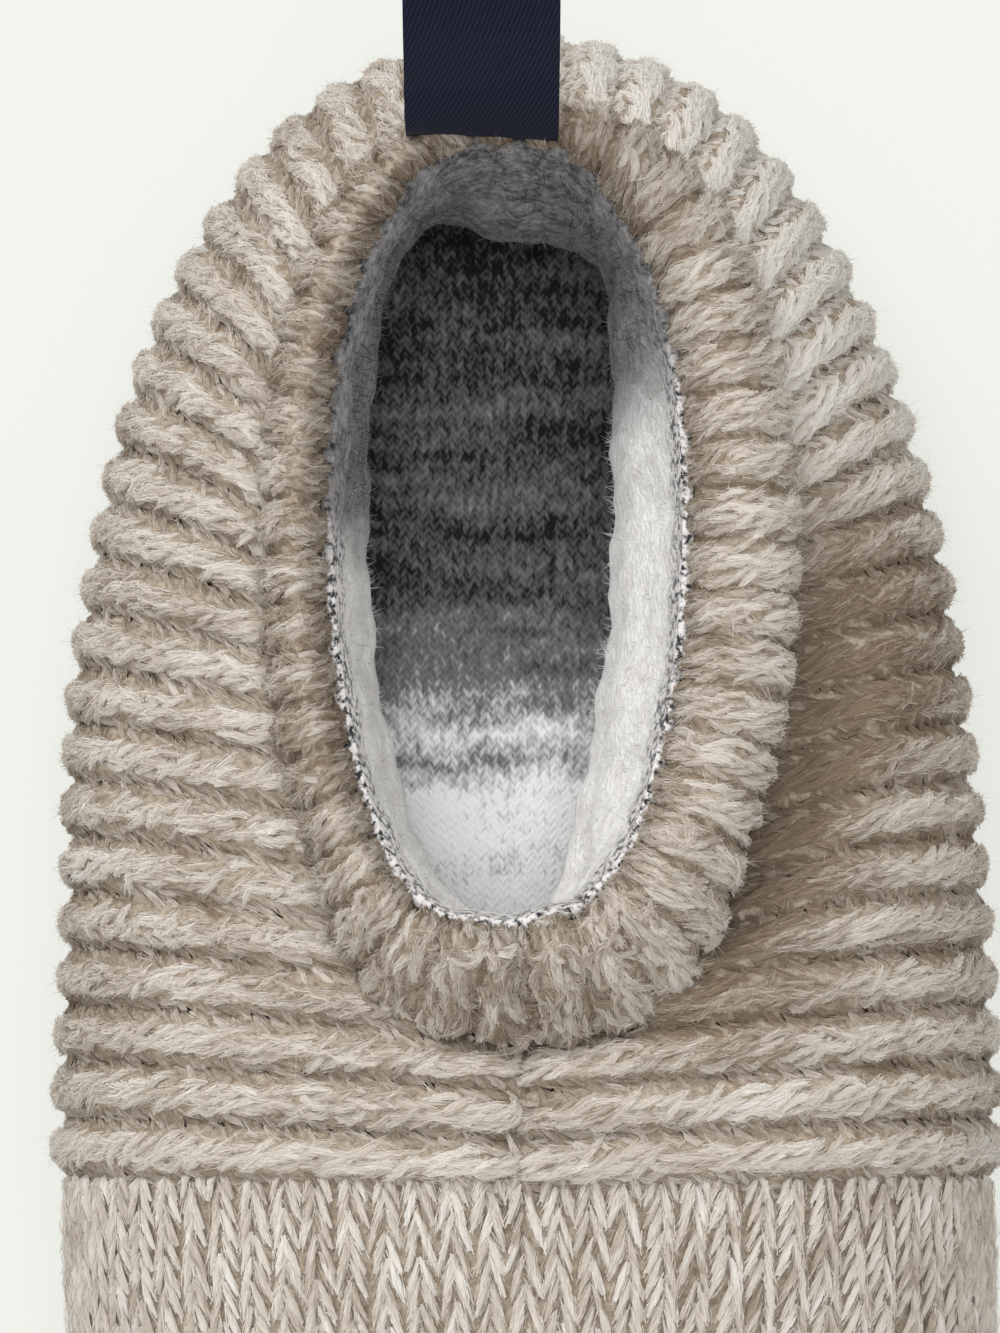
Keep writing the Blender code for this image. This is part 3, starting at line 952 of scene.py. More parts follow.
@dataclass
class YarnBatch:
    """Short lengths of yarn of one kind, gathered up to be joined into one mesh."""

    sides: int = 3
    flatness: float = 0.9
    twist: float = 0.55
    evenness: float = 0.65
    map_start: float = 50.0
    fibre_width: float = 0.14
    fibre_middle: float = 0.9
    fibre_reach: Span = (0.3, 0.55)
    fibre_turn: float = 1.35
    fibre_spread: float = 0.1
    splay: Spread = (0.4, 0.5)
    splay_jitter: float = 0.12
    stand_start: float = 0.4
    # Painted shade on fibres on a strand's flanks, as if shaded by their neighbours.
    flank_painted_shade: float = -0.2
    stray_turn: float = 0.6
    stray_depth: float = 0.8
    parts: list[tuple[Array, Array, Array, Array]] = field(default_factory=list)

    MAP = "strand"
    MAP_LENGTH = 10.0
    TINT = "tint"

    def add(self, path: Array, normal: Array, radius: Array, tint: Array) -> None:
        """Adds lengths of yarn.

        Args:
            path: Points along each length, as (lengths, points, 3).
            normal: Outward direction at those points.
            radius: Yarn's radius at those points.
            tint: Tint of each length, from 0, brown, to 1, cream.
        """
        self.parts.append((path, normal, radius, np.clip(tint, *TINT_LIMITS)))

    def gathered(self) -> tuple[Array, Array, Array, Array]:
        """Gives all paths, normals, radii and tints."""
        return tuple(np.concatenate(column) for column in zip(*self.parts))

    @staticmethod
    def section(path: Array, normal: Array) -> tuple[Array, Array]:
        """Gives the directions across and up the lengths of yarn.

        Args:
            path: Points along each length.
            normal: Outward directions there.

        Returns:
            Directions across and directions up.
        """
        tangent = unit(np.gradient(path, axis=1))
        across = unit(np.cross(tangent, normal))
        return across, np.cross(across, tangent)

    def piece(self, name: str, rng: np.random.Generator) -> Piece:
        """Joins the gathered yarn into one piece of closed tubes.

        Args:
            name: Piece's name.
            rng: Random draws for where each length's fibres begin.

        Returns:
            The piece, with its strand map and tint.
        """
        path, normal, radius, tint = self.gathered()
        count, stations = path.shape[:2]
        sides = self.sides
        across, up = self.section(path, normal)
        turn = math.pi / 2 + 2 * math.pi * np.arange(sides) / sides
        ring = (np.cos(turn)[:, None] * across[:, :, None, :]
                + self.flatness * np.sin(turn)[:, None] * up[:, :, None, :])
        points = path[:, :, None, :] + radius[:, :, None, None] * ring

        number = np.arange(stations * sides).reshape(stations, sides)
        after = np.roll(number, -1, axis=1)
        quads = np.stack([number[:-1], number[1:], after[1:], after[:-1]], axis=-1).reshape(-1, 4)
        caps = np.stack([number[0], number[-1][::-1]])
        corners = np.concatenate([quads.ravel(), caps.ravel()])
        counts = np.concatenate([np.full(len(quads), 4), np.full(2, sides)])

        length = np.cumsum(np.linalg.norm(np.diff(path, axis=1), axis=2), axis=1)
        along = np.concatenate([np.zeros((count, 1)), length], axis=1) / self.MAP_LENGTH
        along += rng.uniform(0, self.map_start, (count, 1))
        low = np.repeat(np.arange(stations - 1), sides)
        wall_row = np.stack([low, low + 1, low + 1, low], axis=-1).ravel()
        step = np.arange(sides) / sides
        wall_turn = np.stack([step, step, step + 1 / sides, step + 1 / sides], axis=-1)
        wall_turn = np.tile(wall_turn, (stations - 1, 1)).ravel()
        map_row = np.concatenate([wall_row, np.zeros(sides, int), np.full(sides, stations - 1)])
        map_turn = np.concatenate([wall_turn, step, step[::-1]])
        map_u = along[:, map_row]
        map_v = map_turn[None] + self.twist * map_u * self.MAP_LENGTH / 2
        strand_map = np.stack([map_u, map_v], axis=-1).reshape(-1, 2)

        offset = np.arange(count)[:, None] * stations * sides
        facing = unit(self.evenness * normal[:, :, None, :] + (1 - self.evenness) * ring)
        return mesh_piece(name, points.reshape(-1, 3), (corners[None] + offset).ravel(),
                          np.tile(counts, count), np.repeat(tint, stations * sides), facing, strand_map)

    def fibres(self, name: str, each: int, rng: np.random.Generator, spread: float = 0.45) -> Piece:
        """Wraps every length of yarn in single fibres, joined into one piece of tapered blades.

        Args:
            name: Piece's name.
            each: Fibres round each length.
            rng: Random draws.
            spread: How far the fibres stand off, as a share of the yarn's radius.

        Returns:
            The new piece.
        """
        path, normal, radius, tint = self.gathered()
        count, stations = path.shape[:2]
        across, up = self.section(path, normal)
        centre = rng.uniform(-self.fibre_middle, self.fibre_middle, (count, each))
        reach = rng.uniform(*self.fibre_reach, (count, each)) * rng.choice([-1.0, 1.0], (count, each))
        share = np.stack([centre - reach, centre + reach], axis=-1)
        place = (share + 1) / 2 * (stations - 1)
        low = np.clip(np.floor(place).astype(int), 0, stations - 2)
        part = (place - low)[..., None]
        strand = np.arange(count)[:, None, None]

        def read(values: Array) -> Array:
            """Reads values along the lengths at the fibres' places."""
            return values[strand, low] * (1 - part) + values[strand, low + 1] * part

        splay = rng.normal(*self.splay, (count, each, 1)) * share
        splay = splay + rng.normal(0, self.splay_jitter, (count, each, 2))
        turn = rng.uniform(-self.fibre_turn, self.fibre_turn, (count, each, 1)) + splay
        outward = read(across) * np.sin(turn)[..., None] + read(up) * np.cos(turn)[..., None]
        stand = np.abs(rng.normal(0, spread, (count, each, 1)))
        stand = 1.0 + stand * (self.stand_start + np.abs(share))
        ends = read(path) + outward * read(radius[..., None]) * stand[..., None]
        root, tip = ends[..., 0, :], ends[..., 1, :]
        half = unit(np.cross(tip - root, outward[..., 0, :])) * self.fibre_width / 2
        points = np.stack([root - half, root + half, tip], axis=-2)
        # Fibres on a strand's flanks get painted shade.
        flank = self.flank_painted_shade * np.sin(turn.mean(axis=-1)) ** 2
        tints = np.clip(tint[:, None] + flank + rng.normal(0.0, self.fibre_spread, (count, each)), 0, 1)
        facing = unit(self.evenness * read(normal) + (1 - self.evenness) * outward)[..., [0, 0, 1], :]
        return blade_piece(name, points, tints, facing)

    def fibre_roots(self, rng: np.random.Generator, count: int) -> tuple[Array, Array, Array, Array]:
        """Picks places on the yarn where loose fibres start.

        Args:
            rng: Random draws.
            count: Number of fibres.

        Returns:
            Roots, outward directions, yarn directions and tints.
        """
        path, normal, radius, tint = self.gathered()
        strand = rng.integers(0, len(path), count)
        at = rng.integers(1, path.shape[1] - 1, count)
        tangent = unit(path[strand, at + 1] - path[strand, at - 1])
        across = np.cross(tangent, normal[strand, at])
        turn = rng.normal(0, self.stray_turn, count)
        outward = normal[strand, at] * np.cos(turn)[:, None] + across * np.sin(turn)[:, None]
        root = path[strand, at] + outward * (radius[strand, at] * self.stray_depth)[:, None]
        return root, outward, tangent, tint[strand]


@dataclass
class LooseFibres:
    """Fine fibres standing off a batch of yarn, joined into one mesh of slender blades."""

    count: int = 8000
    width: float = 0.06
    shortest: float = 0.8
    longest: float = 2.6
    least_rise: float = 0.1
    rise: float = 0.3
    stray: float = 0.5
    paler: Spread = (0.15, 0.25)

    def piece(self, name: str, batch: YarnBatch, rng: np.random.Generator) -> Piece:
        """Lays the fibres.

        Args:
            name: Piece's name.
            batch: Yarn that they stand off.
            rng: Random draws.

        Returns:
            The new piece.
        """
        count = self.count
        root, outward, tangent, tint = batch.fibre_roots(rng, count)
        way = tangent * rng.choice([-1.0, 1.0], count)[:, None]
        way = way + outward * rng.uniform(self.least_rise, 2 * self.rise, count)[:, None]
        way = unit(way + rng.normal(0, self.stray, (count, 3)))
        tip = root + way * rng.uniform(self.shortest, self.longest, count)[:, None]
        half = unit(np.cross(way, outward)) * self.width / 2
        points = np.stack([root - half, root + half, tip], axis=1)
        tints = np.clip(tint + rng.normal(*self.paler, count), 0, 1)
        return blade_piece(name, points, tints, np.repeat(outward, 3, axis=0))


@dataclass
class RopeStitch:
    """Slanted overlapping strands that lie along a knitted ridge in a few rows, like a loosely laid rope."""

    rows: tuple[float, ...] = (0.37, 0.51, 0.65)
    pitch: float = 2.3
    half_length: float = 2.4
    length_spread: Span = (0.8, 1.2)
    slant: float = math.radians(18)
    slant_spread: float = math.radians(12)
    height: float = -0.05
    arch: float = 0.4
    arch_fall: float = 1.8
    arch_spread: Span = (0.6, 1.4)
    radius: float = 0.54
    radius_spread: Span = (0.82, 1.15)
    taper_power: float = 2.5
    bow: float = 0.25
    bow_spread: float = 0.35
    end_share: float = 0.45
    points: int = 5
    tint: float = 0.52
    tint_spread: float = 0.075
    tint_drift: float = 0.08
    drift_knots: int = 12
    # Painted shade from a row's start to its end; on the collar it darkens towards the inner edge.
    painted_shade_run: tuple[float, ...] = (0.0, 0.0)
    # Painted shade on the rows at a ridge's edges, where it turns away from the light.
    edge_row_shade: float = -0.1
    edge_row: float = 0.2
    jitter: float = 0.22
    sway: float = 0.14

    def lay(self, batch: YarnBatch, surface: Surface, start: float, width: float, along: Array,
            step: Span, rng: np.random.Generator, painted_light_and_shade: Callable[[Array], Array]) -> None:
        """Lays the rows of strands along one ridge.

        Args:
            batch: Batch to add them to.
            surface: Surface under the strands.
            start: Where the ridge begins across the surface.
            width: Ridge's width across the surface, less than 0 where it runs back.
            along: Parameters along the ridge, from its start to its end.
            step: Small steps of the two parameters, for normals.
            rng: Random draws.
            painted_light_and_shade: Tint of painted light and shade added at points.
        """
        knots = rng.normal(0, self.tint_drift, self.drift_knots)
        share = np.linspace(-1, 1, self.points)
        for row in self.rows:
            across = start + row * width
            arc = arc_length(surface(np.full_like(along, across), along))
            centres = np.arange(rng.uniform(0, 1) * self.pitch, arc[-1], self.pitch)
            count = len(centres)
            if count == 0:
                continue
            centres = centres + rng.normal(0, self.jitter, count)
            slant = self.slant + rng.normal(0, self.slant_spread, count)
            half = self.half_length * rng.uniform(*self.length_spread, count)
            run = centres[:, None] + share * (half * np.cos(slant))[:, None]
            place = np.interp(run, arc, along)
            sway = rng.normal(0, self.jitter, (count, 1)) + rng.normal(0, self.sway, (count, self.points))
            bow = rng.normal(self.bow, self.bow_spread, (count, 1)) * (1 - share ** 2)
            offset = across + share * (half * np.sin(slant))[:, None] + sway + math.copysign(1, width) * bow
            normal = surface_normal(surface, offset, place, step)
            arch = self.arch * (1 - self.arch_fall * share ** 2) * rng.uniform(*self.arch_spread, (count, 1))
            path = surface(offset, place) + normal * (self.height + arch)[..., None]
            belly = 1 - (1 - self.end_share) * np.abs(share) ** self.taper_power
            radius = self.radius * belly * rng.uniform(*self.radius_spread, (count, 1))
            drift = np.interp(centres, np.linspace(0, arc[-1], self.drift_knots), knots)
            # Painted shade along the row and on a ridge's edge rows.
            run_shade = np.interp(centres, np.linspace(0, arc[-1], len(self.painted_shade_run)), self.painted_shade_run)
            edge_row_shade = self.edge_row_shade * min(abs(row - 0.5) / self.edge_row, 1.0)
            tint = self.tint + drift + run_shade + edge_row_shade + rng.normal(0, self.tint_spread, count)
            batch.add(path, normal, radius, tint + painted_light_and_shade(path[:, self.points // 2]))


def spin(label: str, rope_label: str, ropes: YarnBatch, troughs: YarnBatch, each: tuple[int, int],
         loose: LooseFibres, rng: np.random.Generator) -> tuple[list[Piece], list[Piece]]:
    """Joins the strands of ridges and of the troughs between them.

    Args:
        label: Start of the names of pieces.
        rope_label: Start of the names of the ridges' own pieces.
        ropes: Strands on the ridges.
        troughs: Strands in the troughs.
        each: Fibres round each length of rope and of trough yarn.
        loose: Fibres that stand off the ropes.
        rng: Random draws.

    Returns:
        Pieces of yarn and pieces of fibre.
    """
    strands = [ropes.piece(f"{rope_label}_yarn", rng), troughs.piece(f"{label}_trough_yarn", rng)]
    fibres = [ropes.fibres(f"{rope_label}_fibres", each[0], rng),
              troughs.fibres(f"{label}_trough_fibres", each[1], rng),
              loose.piece(f"{label}_stray_fibres", ropes, rng)]
    return strands, fibres


@dataclass(frozen=True)
class ThroatShade:
    """Hollow in front of the opening, where painted shade makes the wool browner."""

    # Depth of the painted shade in the hollow, as tint taken off the wool.
    brown: float = 0.19
    place: Plan = (-1.0, 15.0)
    reach: Plan = (15.0, 8.0)

    def shade(self, points: Array) -> Array:
        """Gives how much painted shade darkens the wool at points."""
        off = (points[..., :2] - self.place) / self.reach
        return self.brown * np.exp(-off[..., 0] ** 2 - off[..., 1] ** 2)


@dataclass(frozen=True)
class UpperShade:
    """Tints of the upper: painted light behind the heel, painted shade in the throat and the inner crease, a
    little paler to the toe.
    """

    # Painted light behind the heel, weaker on the outer side than on the inner side.
    heel_light_outer: float = 0.08
    heel_light_inner: float = 0.54
    heel_x: Span = (-10.0, 10.0)
    heel_y: Span = (55.0, 108.0)
    front: float = 0.06
    front_y: Span = (2.0, 22.0)
    # Painted shade along the crease beside the collar's inner side.
    crease: float = 0.9
    crease_line_x: Span = (17.0, 34.0)
    crease_line_y: Span = (24.0, 59.0)
    crease_outer_spread: float = 7.0
    crease_inner_spread: float = 11.0
    crease_y: tuple[Span, Span] = ((10.0, 28.0), (56.0, 80.0))
    throat: ThroatShade = ThroatShade()

    def painted_light_and_shade(self, points: Array) -> Array:
        """Gives the tint that painted light adds at points, less than 0 where painted shade darkens the
        wool.

        Args:
            points: Points on the wool.

        Returns:
            Tint to add.
        """
        x, y = points[..., 0], points[..., 1]
        # Painted light behind the heel.
        inner = smooth_step(x, *self.heel_x)
        heel = self.heel_light_outer + (self.heel_light_inner - self.heel_light_outer) * inner
        heel = heel * smooth_step(y, *self.heel_y)
        front = self.front * (1 - smooth_step(y, *self.front_y))
        # Painted shade along the crease beside the collar.
        off = x - np.interp(y, self.crease_line_y, self.crease_line_x)
        spread = np.where(off > 0, self.crease_inner_spread, self.crease_outer_spread)
        crease = np.exp(-(off / spread) ** 2) * between(y, *self.crease_y)
        return heel + front - self.crease * crease - self.throat.shade(points)


@dataclass
class ToeKnit:
    """Smooth stockinette over the toe, in front of the ridges."""

    form: SlipperForm
    start: float
    start_length: float
    sink: float
    column_width: float = 3.6
    row_height: float = 2.5
    first_row: float = 0.4
    row_column: float = 0.3
    row_samples: int = 401
    flank_samples: int = 400
    leg_points: int = 3
    leg_radius: float = 0.58
    leg_radius_spread: Span = (0.7, 1.12)
    leg_out: float = 0.92
    leg_lean: float = 0.72
    leg_run: float = 1.65
    leg_start: float = 0.85
    leg_wobble: float = 0.13
    leg_shift: float = 0.22
    leg_height: float = 0.15
    leg_arch: float = 0.55
    leg_arch_turn: Span = (0.1, 0.75)
    leg_arch_spread: Span = (0.85, 1.15)
    leg_tint: Spread = (0.66, 0.13)
    overlap: float = 8.0
    grid: tuple[int, int] = (90, 60)
    table: tuple[int, int] = (110, 121)
    axis_height: float = 17.0
    turn_start: float = 207.0
    turn_radius: float = 34.0
    turn_end: float = math.radians(86)
    reach: float = 44.0
    foot: float = 6.0
    steepest: float = 0.97

    STEP = (0.004, 0.6)

    def wall(self) -> BVHTree:
        """Gives the plain toe as faces for rays to hit.

        Returns:
            Tree of the faces.
        """
        lengths = np.linspace(self.start_length - self.overlap, self.form.whole_length, self.grid[0])
        shares = np.linspace(0, 1, self.grid[1])
        number = np.arange(len(lengths) * len(shares)).reshape(len(lengths), len(shares))
        quads = np.stack([number[:-1, :-1], number[1:, :-1], number[1:, 1:], number[:-1, 1:]], axis=-1)
        points, faces = [], []
        for side in Side:
            faces += (quads.reshape(-1, 4) + len(points) * number.size).tolist()
            grid = self.form.point(side.value * lengths[:, None], shares[None, :], self.sink)
            points.append(grid.reshape(-1, 3))
        return BVHTree.FromPolygons(np.concatenate(points).tolist(), faces)

    def surface(self) -> tuple[Surface, float]:
        """Maps the smooth toe by stitch columns that gather towards its tip and rows across the foot.

        Returns:
            Surface by column share and row distance, and the last row's distance.
        """
        form = self.form
        tree = self.wall()
        straight = self.turn_start - self.start
        last = straight + self.turn_radius * self.turn_end
        distance, u = (np.linspace(0, end, count) for end, count in zip((last, 1), self.table))
        table = np.empty((*self.table, 3))
        for row, gone in enumerate(distance):
            forward = self.start + min(gone, straight)
            turn = max(gone - straight, 0) / self.turn_radius
            x, y = form.axis_x(forward) + form.origin[0], form.origin[1] - forward
            origin = Vector((x, y, self.axis_height))
            flat = math.cos(turn)
            slope = (self.axis_height - self.foot) / (self.reach * flat)
            low = -math.asin(min(slope, self.steepest))
            for column, share in enumerate(u):
                angle = math.pi - low - share * (math.pi - 2 * low)
                way = Vector((math.cos(angle) * flat, -math.sin(turn), math.sin(angle) * flat))
                hit = tree.ray_cast(origin, way)[0]
                if hit is None:
                    known = (Vector(table[row, column - 1]) - origin).length
                    hit = tree.find_nearest(origin + way * known)[0]
                table[row, column] = hit

        def surface(share: Array, gone: Array) -> Array:
            """Reads the map between its tabulated places."""
            column = np.clip(share, 0, 1) * (len(u) - 1)
            row = np.clip(gone / last, 0, 1) * (len(distance) - 1)
            c = np.minimum(column.astype(int), len(u) - 2)
            r = np.minimum(row.astype(int), len(distance) - 2)
            s, t = (column - c)[..., None], (row - r)[..., None]
            return ((table[r, c] * (1 - s) + table[r, c + 1] * s) * (1 - t)
                    + (table[r + 1, c] * (1 - s) + table[r + 1, c + 1] * s) * t)

        return surface, last

    def stitches(self, rng: np.random.Generator) -> YarnBatch:
        """Lays two slanted legs to each stitch, in even columns that run out along the sole.

        Args:
            rng: Random draws.

        Returns:
            Batch of the legs.
        """
        surface, last = self.surface()
        batch = YarnBatch(twist=0.4, evenness=0.4)
        u, fine = np.linspace(0, 1, self.row_samples), np.linspace(0, last, self.flank_samples)
        share = np.linspace(0, 1, self.leg_points)
        flank = arc_length(surface(np.full_like(fine, self.row_column), fine))
        places = np.arange(self.row_height * self.first_row, flank[-1], self.row_height)
        rows = np.interp(places, flank, fine)
        turn_start, turn = self.leg_arch_turn
        rise = self.leg_height + self.leg_arch * np.sin(math.pi * (turn_start + turn * share))
        belly = 0.5 + 0.5 * np.sin(math.pi * share)
        for gone, height in zip(rows, np.gradient(rows)):
            reach = arc_length(surface(u, np.full_like(u, gone)))
            reach -= reach[len(u) // 2]
            first, beyond = round(reach[0] / self.column_width), round(reach[-1] / self.column_width) + 1
            edges = np.interp(np.arange(first, beyond) * self.column_width, reach, u)
            middle, half = (edges[1:] + edges[:-1]) / 2, np.diff(edges) / 2
            each = (len(middle), 1)
            for hand in (-1, 1):
                out = self.leg_out - self.leg_lean * share + rng.normal(0, self.leg_wobble, each)
                across = middle[:, None] + hand * half[:, None] * out
                shift = rng.normal(0, self.leg_shift, each)
                along = gone + height * (self.leg_run * share - self.leg_start) + shift
                normal = surface_normal(surface, across, along, self.STEP)
                stand = rise * rng.uniform(*self.leg_arch_spread, each)
                path = surface(across, along) + normal * stand[..., None]
                radius = self.leg_radius * belly * rng.uniform(*self.leg_radius_spread, each)
                batch.add(path, normal, radius, rng.normal(*self.leg_tint, len(middle)))
        return batch


@dataclass
class KnitUpper:
    """Knitted wall: ground cloth with raised ridges, strands on them and the smooth toe."""

    form: SlipperForm
    ridges_per_side: int = 24
    zone_end: float = 124.9
    zone_run: float = 0.1
    ridge_height: float = 1.8
    ridge_power: float = 0.7
    ridge_fade: float = 7.0
    throat_fade: float = 15.0
    ridge_left: float = 0.5
    heel_left: float = 0.55
    heel_fade: Span = (12.0, 62.0)
    foot_left: float = 0.3
    foot_share: float = 0.2
    ground_columns_per_ridge: int = 6
    ground_toe_columns: int = 32
    ground_rows: int = 28
    ground_thickness: float = 0.8
    seam_merge: float = 0.2
    sink: float = 1.1
    seam_half_width: float = 1.3
    seam_depth: float = 1.0
    seam_run: float = 6.0
    crease_depth: float = 7.5
    crease_reach: Span = (1.0, 15.0)
    inner_crease: tuple[Span, Span] = ((4.0, 22.0), (52.0, 78.0))
    outer_crease: tuple[Span, Span] = ((4.0, 18.0), (20.0, 40.0))
    outer_crease_share: float = 0.5
    pole_margin: float = 0.5
    top_share: float = 0.985
    shade: UpperShade = UpperShade()
    stitch: RopeStitch = field(default_factory=lambda: RopeStitch(tint=0.62, edge_row_shade=-0.08))
    # Trough strands are tinted darker than the ridges' strands, as painted shade between the ridges.
    trough: RopeStitch = field(default_factory=lambda: RopeStitch(
        rows=(-0.1, 0.09), pitch=2.4, half_length=1.7, slant=math.radians(-25), height=-0.15, arch=0.2,
        radius=0.48, points=4, tint=0.4))
    strand_shares: Span = (0.08, 0.9995)
    strand_samples: int = 140
    ridge_fibres: tuple[int, int] = (58, 24)
    toe_fibres: int = 38
    toe_fibre_spread: float = 0.7

    FAR = 99.0
    STEP = (0.3, 0.004)

    def __post_init__(self) -> None:
        """Works out the ridges' pitch."""
        self.zone_length = float(np.interp(self.zone_end, self.form.edges, self.form.lengths))
        self.pitch = self.zone_length / self.ridges_per_side

    def rim_distance(self, length: Array, share: Array) -> tuple[Array, Array]:
        """Gives distances of places on the wall from the opening's rim and from the middle line.

        Args:
            length: Signed lengths round the outline.
            share: Shares up the wall.

        Returns:
            Distances from the rim and from the middle line.
        """
        station = self.form.station(length)
        reach, rim = station["reach"], station["rim"]
        angle = np.clip(self.form.angle(reach, rim, share), 0, math.pi / 2)
        radius = reach * np.cos(angle) ** (2 / self.form.dome_power)
        ahead = np.hypot(radius, station["forward"] - self.form.opening_front)
        return np.where(rim > 0, radius - rim, ahead), np.where(rim > 0, self.FAR, radius)

    def relief(self, length: Array, share: Array, base: Array) -> Array:
        """Gives how far the ridges stand out, less the seam's trough and the creases beside the collar.

        Args:
            length: Signed lengths round the outline.
            share: Shares up the wall.
            base: Points of the plain wall there.

        Returns:
            Distances along the outward normal.
        """
        to_rim, to_middle = self.rim_distance(length, share)
        size = np.abs(length)
        fade = np.where(to_middle < self.FAR, self.throat_fade, self.ridge_fade)
        kept = self.ridge_left + (1 - self.ridge_left) * smooth_step(to_rim / fade, 0, 1)
        kept = kept * (self.foot_left + (1 - self.foot_left) * smooth_step(share, 0, self.foot_share))
        kept = kept * (self.heel_left + (1 - self.heel_left) * smooth_step(size, *self.heel_fade))
        ridged = 1 - smooth_step(size, self.zone_length - self.zone_run, self.zone_length)
        wave = np.abs(np.sin(math.pi * size / self.pitch)) ** self.ridge_power
        ridge = self.ridge_height * wave * kept * ridged
        beyond = 1 - smooth_step(size, self.zone_length, self.zone_length + self.seam_run)
        seam = self.seam_depth * beyond * (1 - smooth_step(to_middle, 0, self.seam_half_width))
        near = 1 - smooth_step(to_rim, *self.crease_reach)
        inner = (np.asarray(length) > 0) * between(base[..., 1], *self.inner_crease)
        outer = (np.asarray(length) < 0) * between(base[..., 1], *self.outer_crease)
        crease = self.crease_depth * near * (inner + self.outer_crease_share * outer)
        return ridge - seam - crease - self.sink

    def surface(self, length: Array, share: Array) -> Array:
        """Gives points of the ground cloth with its ridges and creases.

        Args:
            length: Signed lengths round the outline.
            share: Shares up the wall.

        Returns:
            Points.
        """
        base = self.form.point(length, share)
        tip = self.form.whole_length - self.pole_margin
        off_pole, below_top = np.clip(length, -tip, tip), np.clip(share, 0, self.top_share)
        normal = surface_normal(self.form.point, off_pole, below_top, self.STEP)
        return base + normal * self.relief(length, share, base)[..., None]

    def ground(self) -> Piece:
        """Models the ground cloth as a wall with its real thickness.

        Returns:
            The new piece.
        """
        ridged = np.linspace(0, self.zone_length, self.ridges_per_side * self.ground_columns_per_ridge + 1)
        toe = np.linspace(self.zone_length, self.form.whole_length, self.ground_toe_columns + 1)[1:]
        columns, laid = round_columns(np.concatenate([ridged, toe]), self.surface)
        piece = lay_grid("knit_ground", columns, self.ground_rows, laid)
        close_seams(piece, self.seam_merge, False)
        thickness = self.form.wall * self.ground_thickness * MM
        apply_modifier(piece, "SOLIDIFY", thickness=thickness, offset=1.0, use_rim=True)
        return piece

    def ridges(self, side: Side, rng: np.random.Generator) -> tuple[YarnBatch, YarnBatch]:
        """Lays one side's strands on the ridges and the short dark strands in the troughs between them.

        Args:
            side: Side of the foot.
            rng: Random draws.

        Returns:
            Ridge strands and trough strands.
        """
        ropes, troughs = YarnBatch(), YarnBatch()
        along = np.linspace(*self.strand_shares, self.strand_samples)
        width = side.value * self.pitch
        for number in range(self.ridges_per_side):
            for stitch, batch, ridge in ((self.stitch, ropes, number), (self.trough, troughs, number + 1)):
                stitch.lay(batch, self.surface, ridge * width, width, along, self.STEP, rng,
                           self.shade.painted_light_and_shade)
        return ropes, troughs

    def build(self, rng: np.random.Generator) -> list[Piece]:
        """Builds and dresses the upper.

        Args:
            rng: Random draws.

        Returns:
            Ground, ridge yarn, trough yarn, toe yarn and their loose fibres.
        """
        ground = self.ground()
        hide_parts("upper")
        toe = ToeKnit(self.form, self.zone_end, self.zone_length, self.sink).stitches(rng)
        strands = [toe.piece("toe_yarn", rng)]
        fibres = [toe.fibres("toe_fibres", self.toe_fibres, rng, self.toe_fibre_spread)]
        for side in Side:
            label = side.name.lower()
            ropes, troughs = self.ridges(side, rng)
            yarn, fuzz = spin(label, f"{label}_ridge", ropes, troughs, self.ridge_fibres, LooseFibres(), rng)
            strands += yarn
            fibres += fuzz
        wear(WoolGround().material(), ground)
        wear(WoolYarn().material(), *strands)
        wear(WoolFuzz().material(), *fibres)
        pieces = [ground, *strands, *fibres]
        return pieces


@dataclass(frozen=True)
class CollarShade:
    """Tints of the collar: painted shade in front and along its shaded outer side, darker behind, a little
    paler on its inner side.
    """

    behind: float = 0.08
    behind_y: Span = (80.0, 110.0)
    # Painted shade along the collar's outer side.
    outer: float = 0.18
    outer_x: Span = (-24.0, -12.0)
    inner: float = 0.05
    inner_x: Span = (12.0, 24.0)
    throat: ThroatShade = ThroatShade()

    def painted_light_and_shade(self, points: Array) -> Array:
        """Gives the tint added at points, less than 0 where the wool is darker, mostly by painted shade.

        Args:
            points: Points on the wool.

        Returns:
            Tint to add.
        """
        behind = self.behind * smooth_step(points[..., 1], *self.behind_y)
        outer = self.outer * (1 - smooth_step(points[..., 0], *self.outer_x))
        inner = self.inner * smooth_step(points[..., 0], *self.inner_x)
        return -self.throat.shade(points) - behind - outer + inner


@dataclass(frozen=True)
class FrontCurls:
    """Loose curled strands over the front of the collar, where the knitting bunches up."""

    count: int = 110
    turn: Span = (1.2, 2.4)
    size: Span = (1.0, 2.0)
    reach: float = 13.0
    corners: Span = (1.6, 5.6)
    corner_size: float = 3.4
    height: Span = (0.1, 0.6)
    taper: float = 0.5
    radius_spread: Span = (0.8, 1.1)
    tint: Spread = (0.46, 0.12)
    points: int = 5
    radius: float = 0.52

    STEP = (0.3, 0.05)

    def lay(self, batch: YarnBatch, surface: Surface, front: float, painted_light_and_shade: Callable[[Array], Array],
            rng: np.random.Generator) -> None:
        """Lays the curls.

        Args:
            batch: Batch to add them to.
            surface: Collar's surface.
            front: Distance along the rim of the collar's front.
            painted_light_and_shade: Tint of painted light and shade added at points.
            rng: Random draws.
        """
        each = (self.count, 1)
        share = np.linspace(0, 1, self.points)
        turn = rng.uniform(0, 2 * math.pi, each) + rng.uniform(*self.turn, each) * share
        size = rng.uniform(*self.size, each)
        distance = front + rng.normal(0, self.reach, each) + size * np.cos(turn)
        corner = rng.uniform(*self.corners, each) + size * np.sin(turn) / self.corner_size
        normal = surface_normal(surface, distance, corner, self.STEP)
        path = surface(distance, corner) + normal * rng.uniform(*self.height, (self.count, 1, 1))
        belly = 1 - self.taper * (2 * share - 1) ** 2
        radius = self.radius * belly * rng.uniform(*self.radius_spread, each)
        # The curls take the collar's painted shade.
        batch.add(path, normal, radius, rng.normal(*self.tint, self.count) + painted_light_and_shade(path[:, 0]))


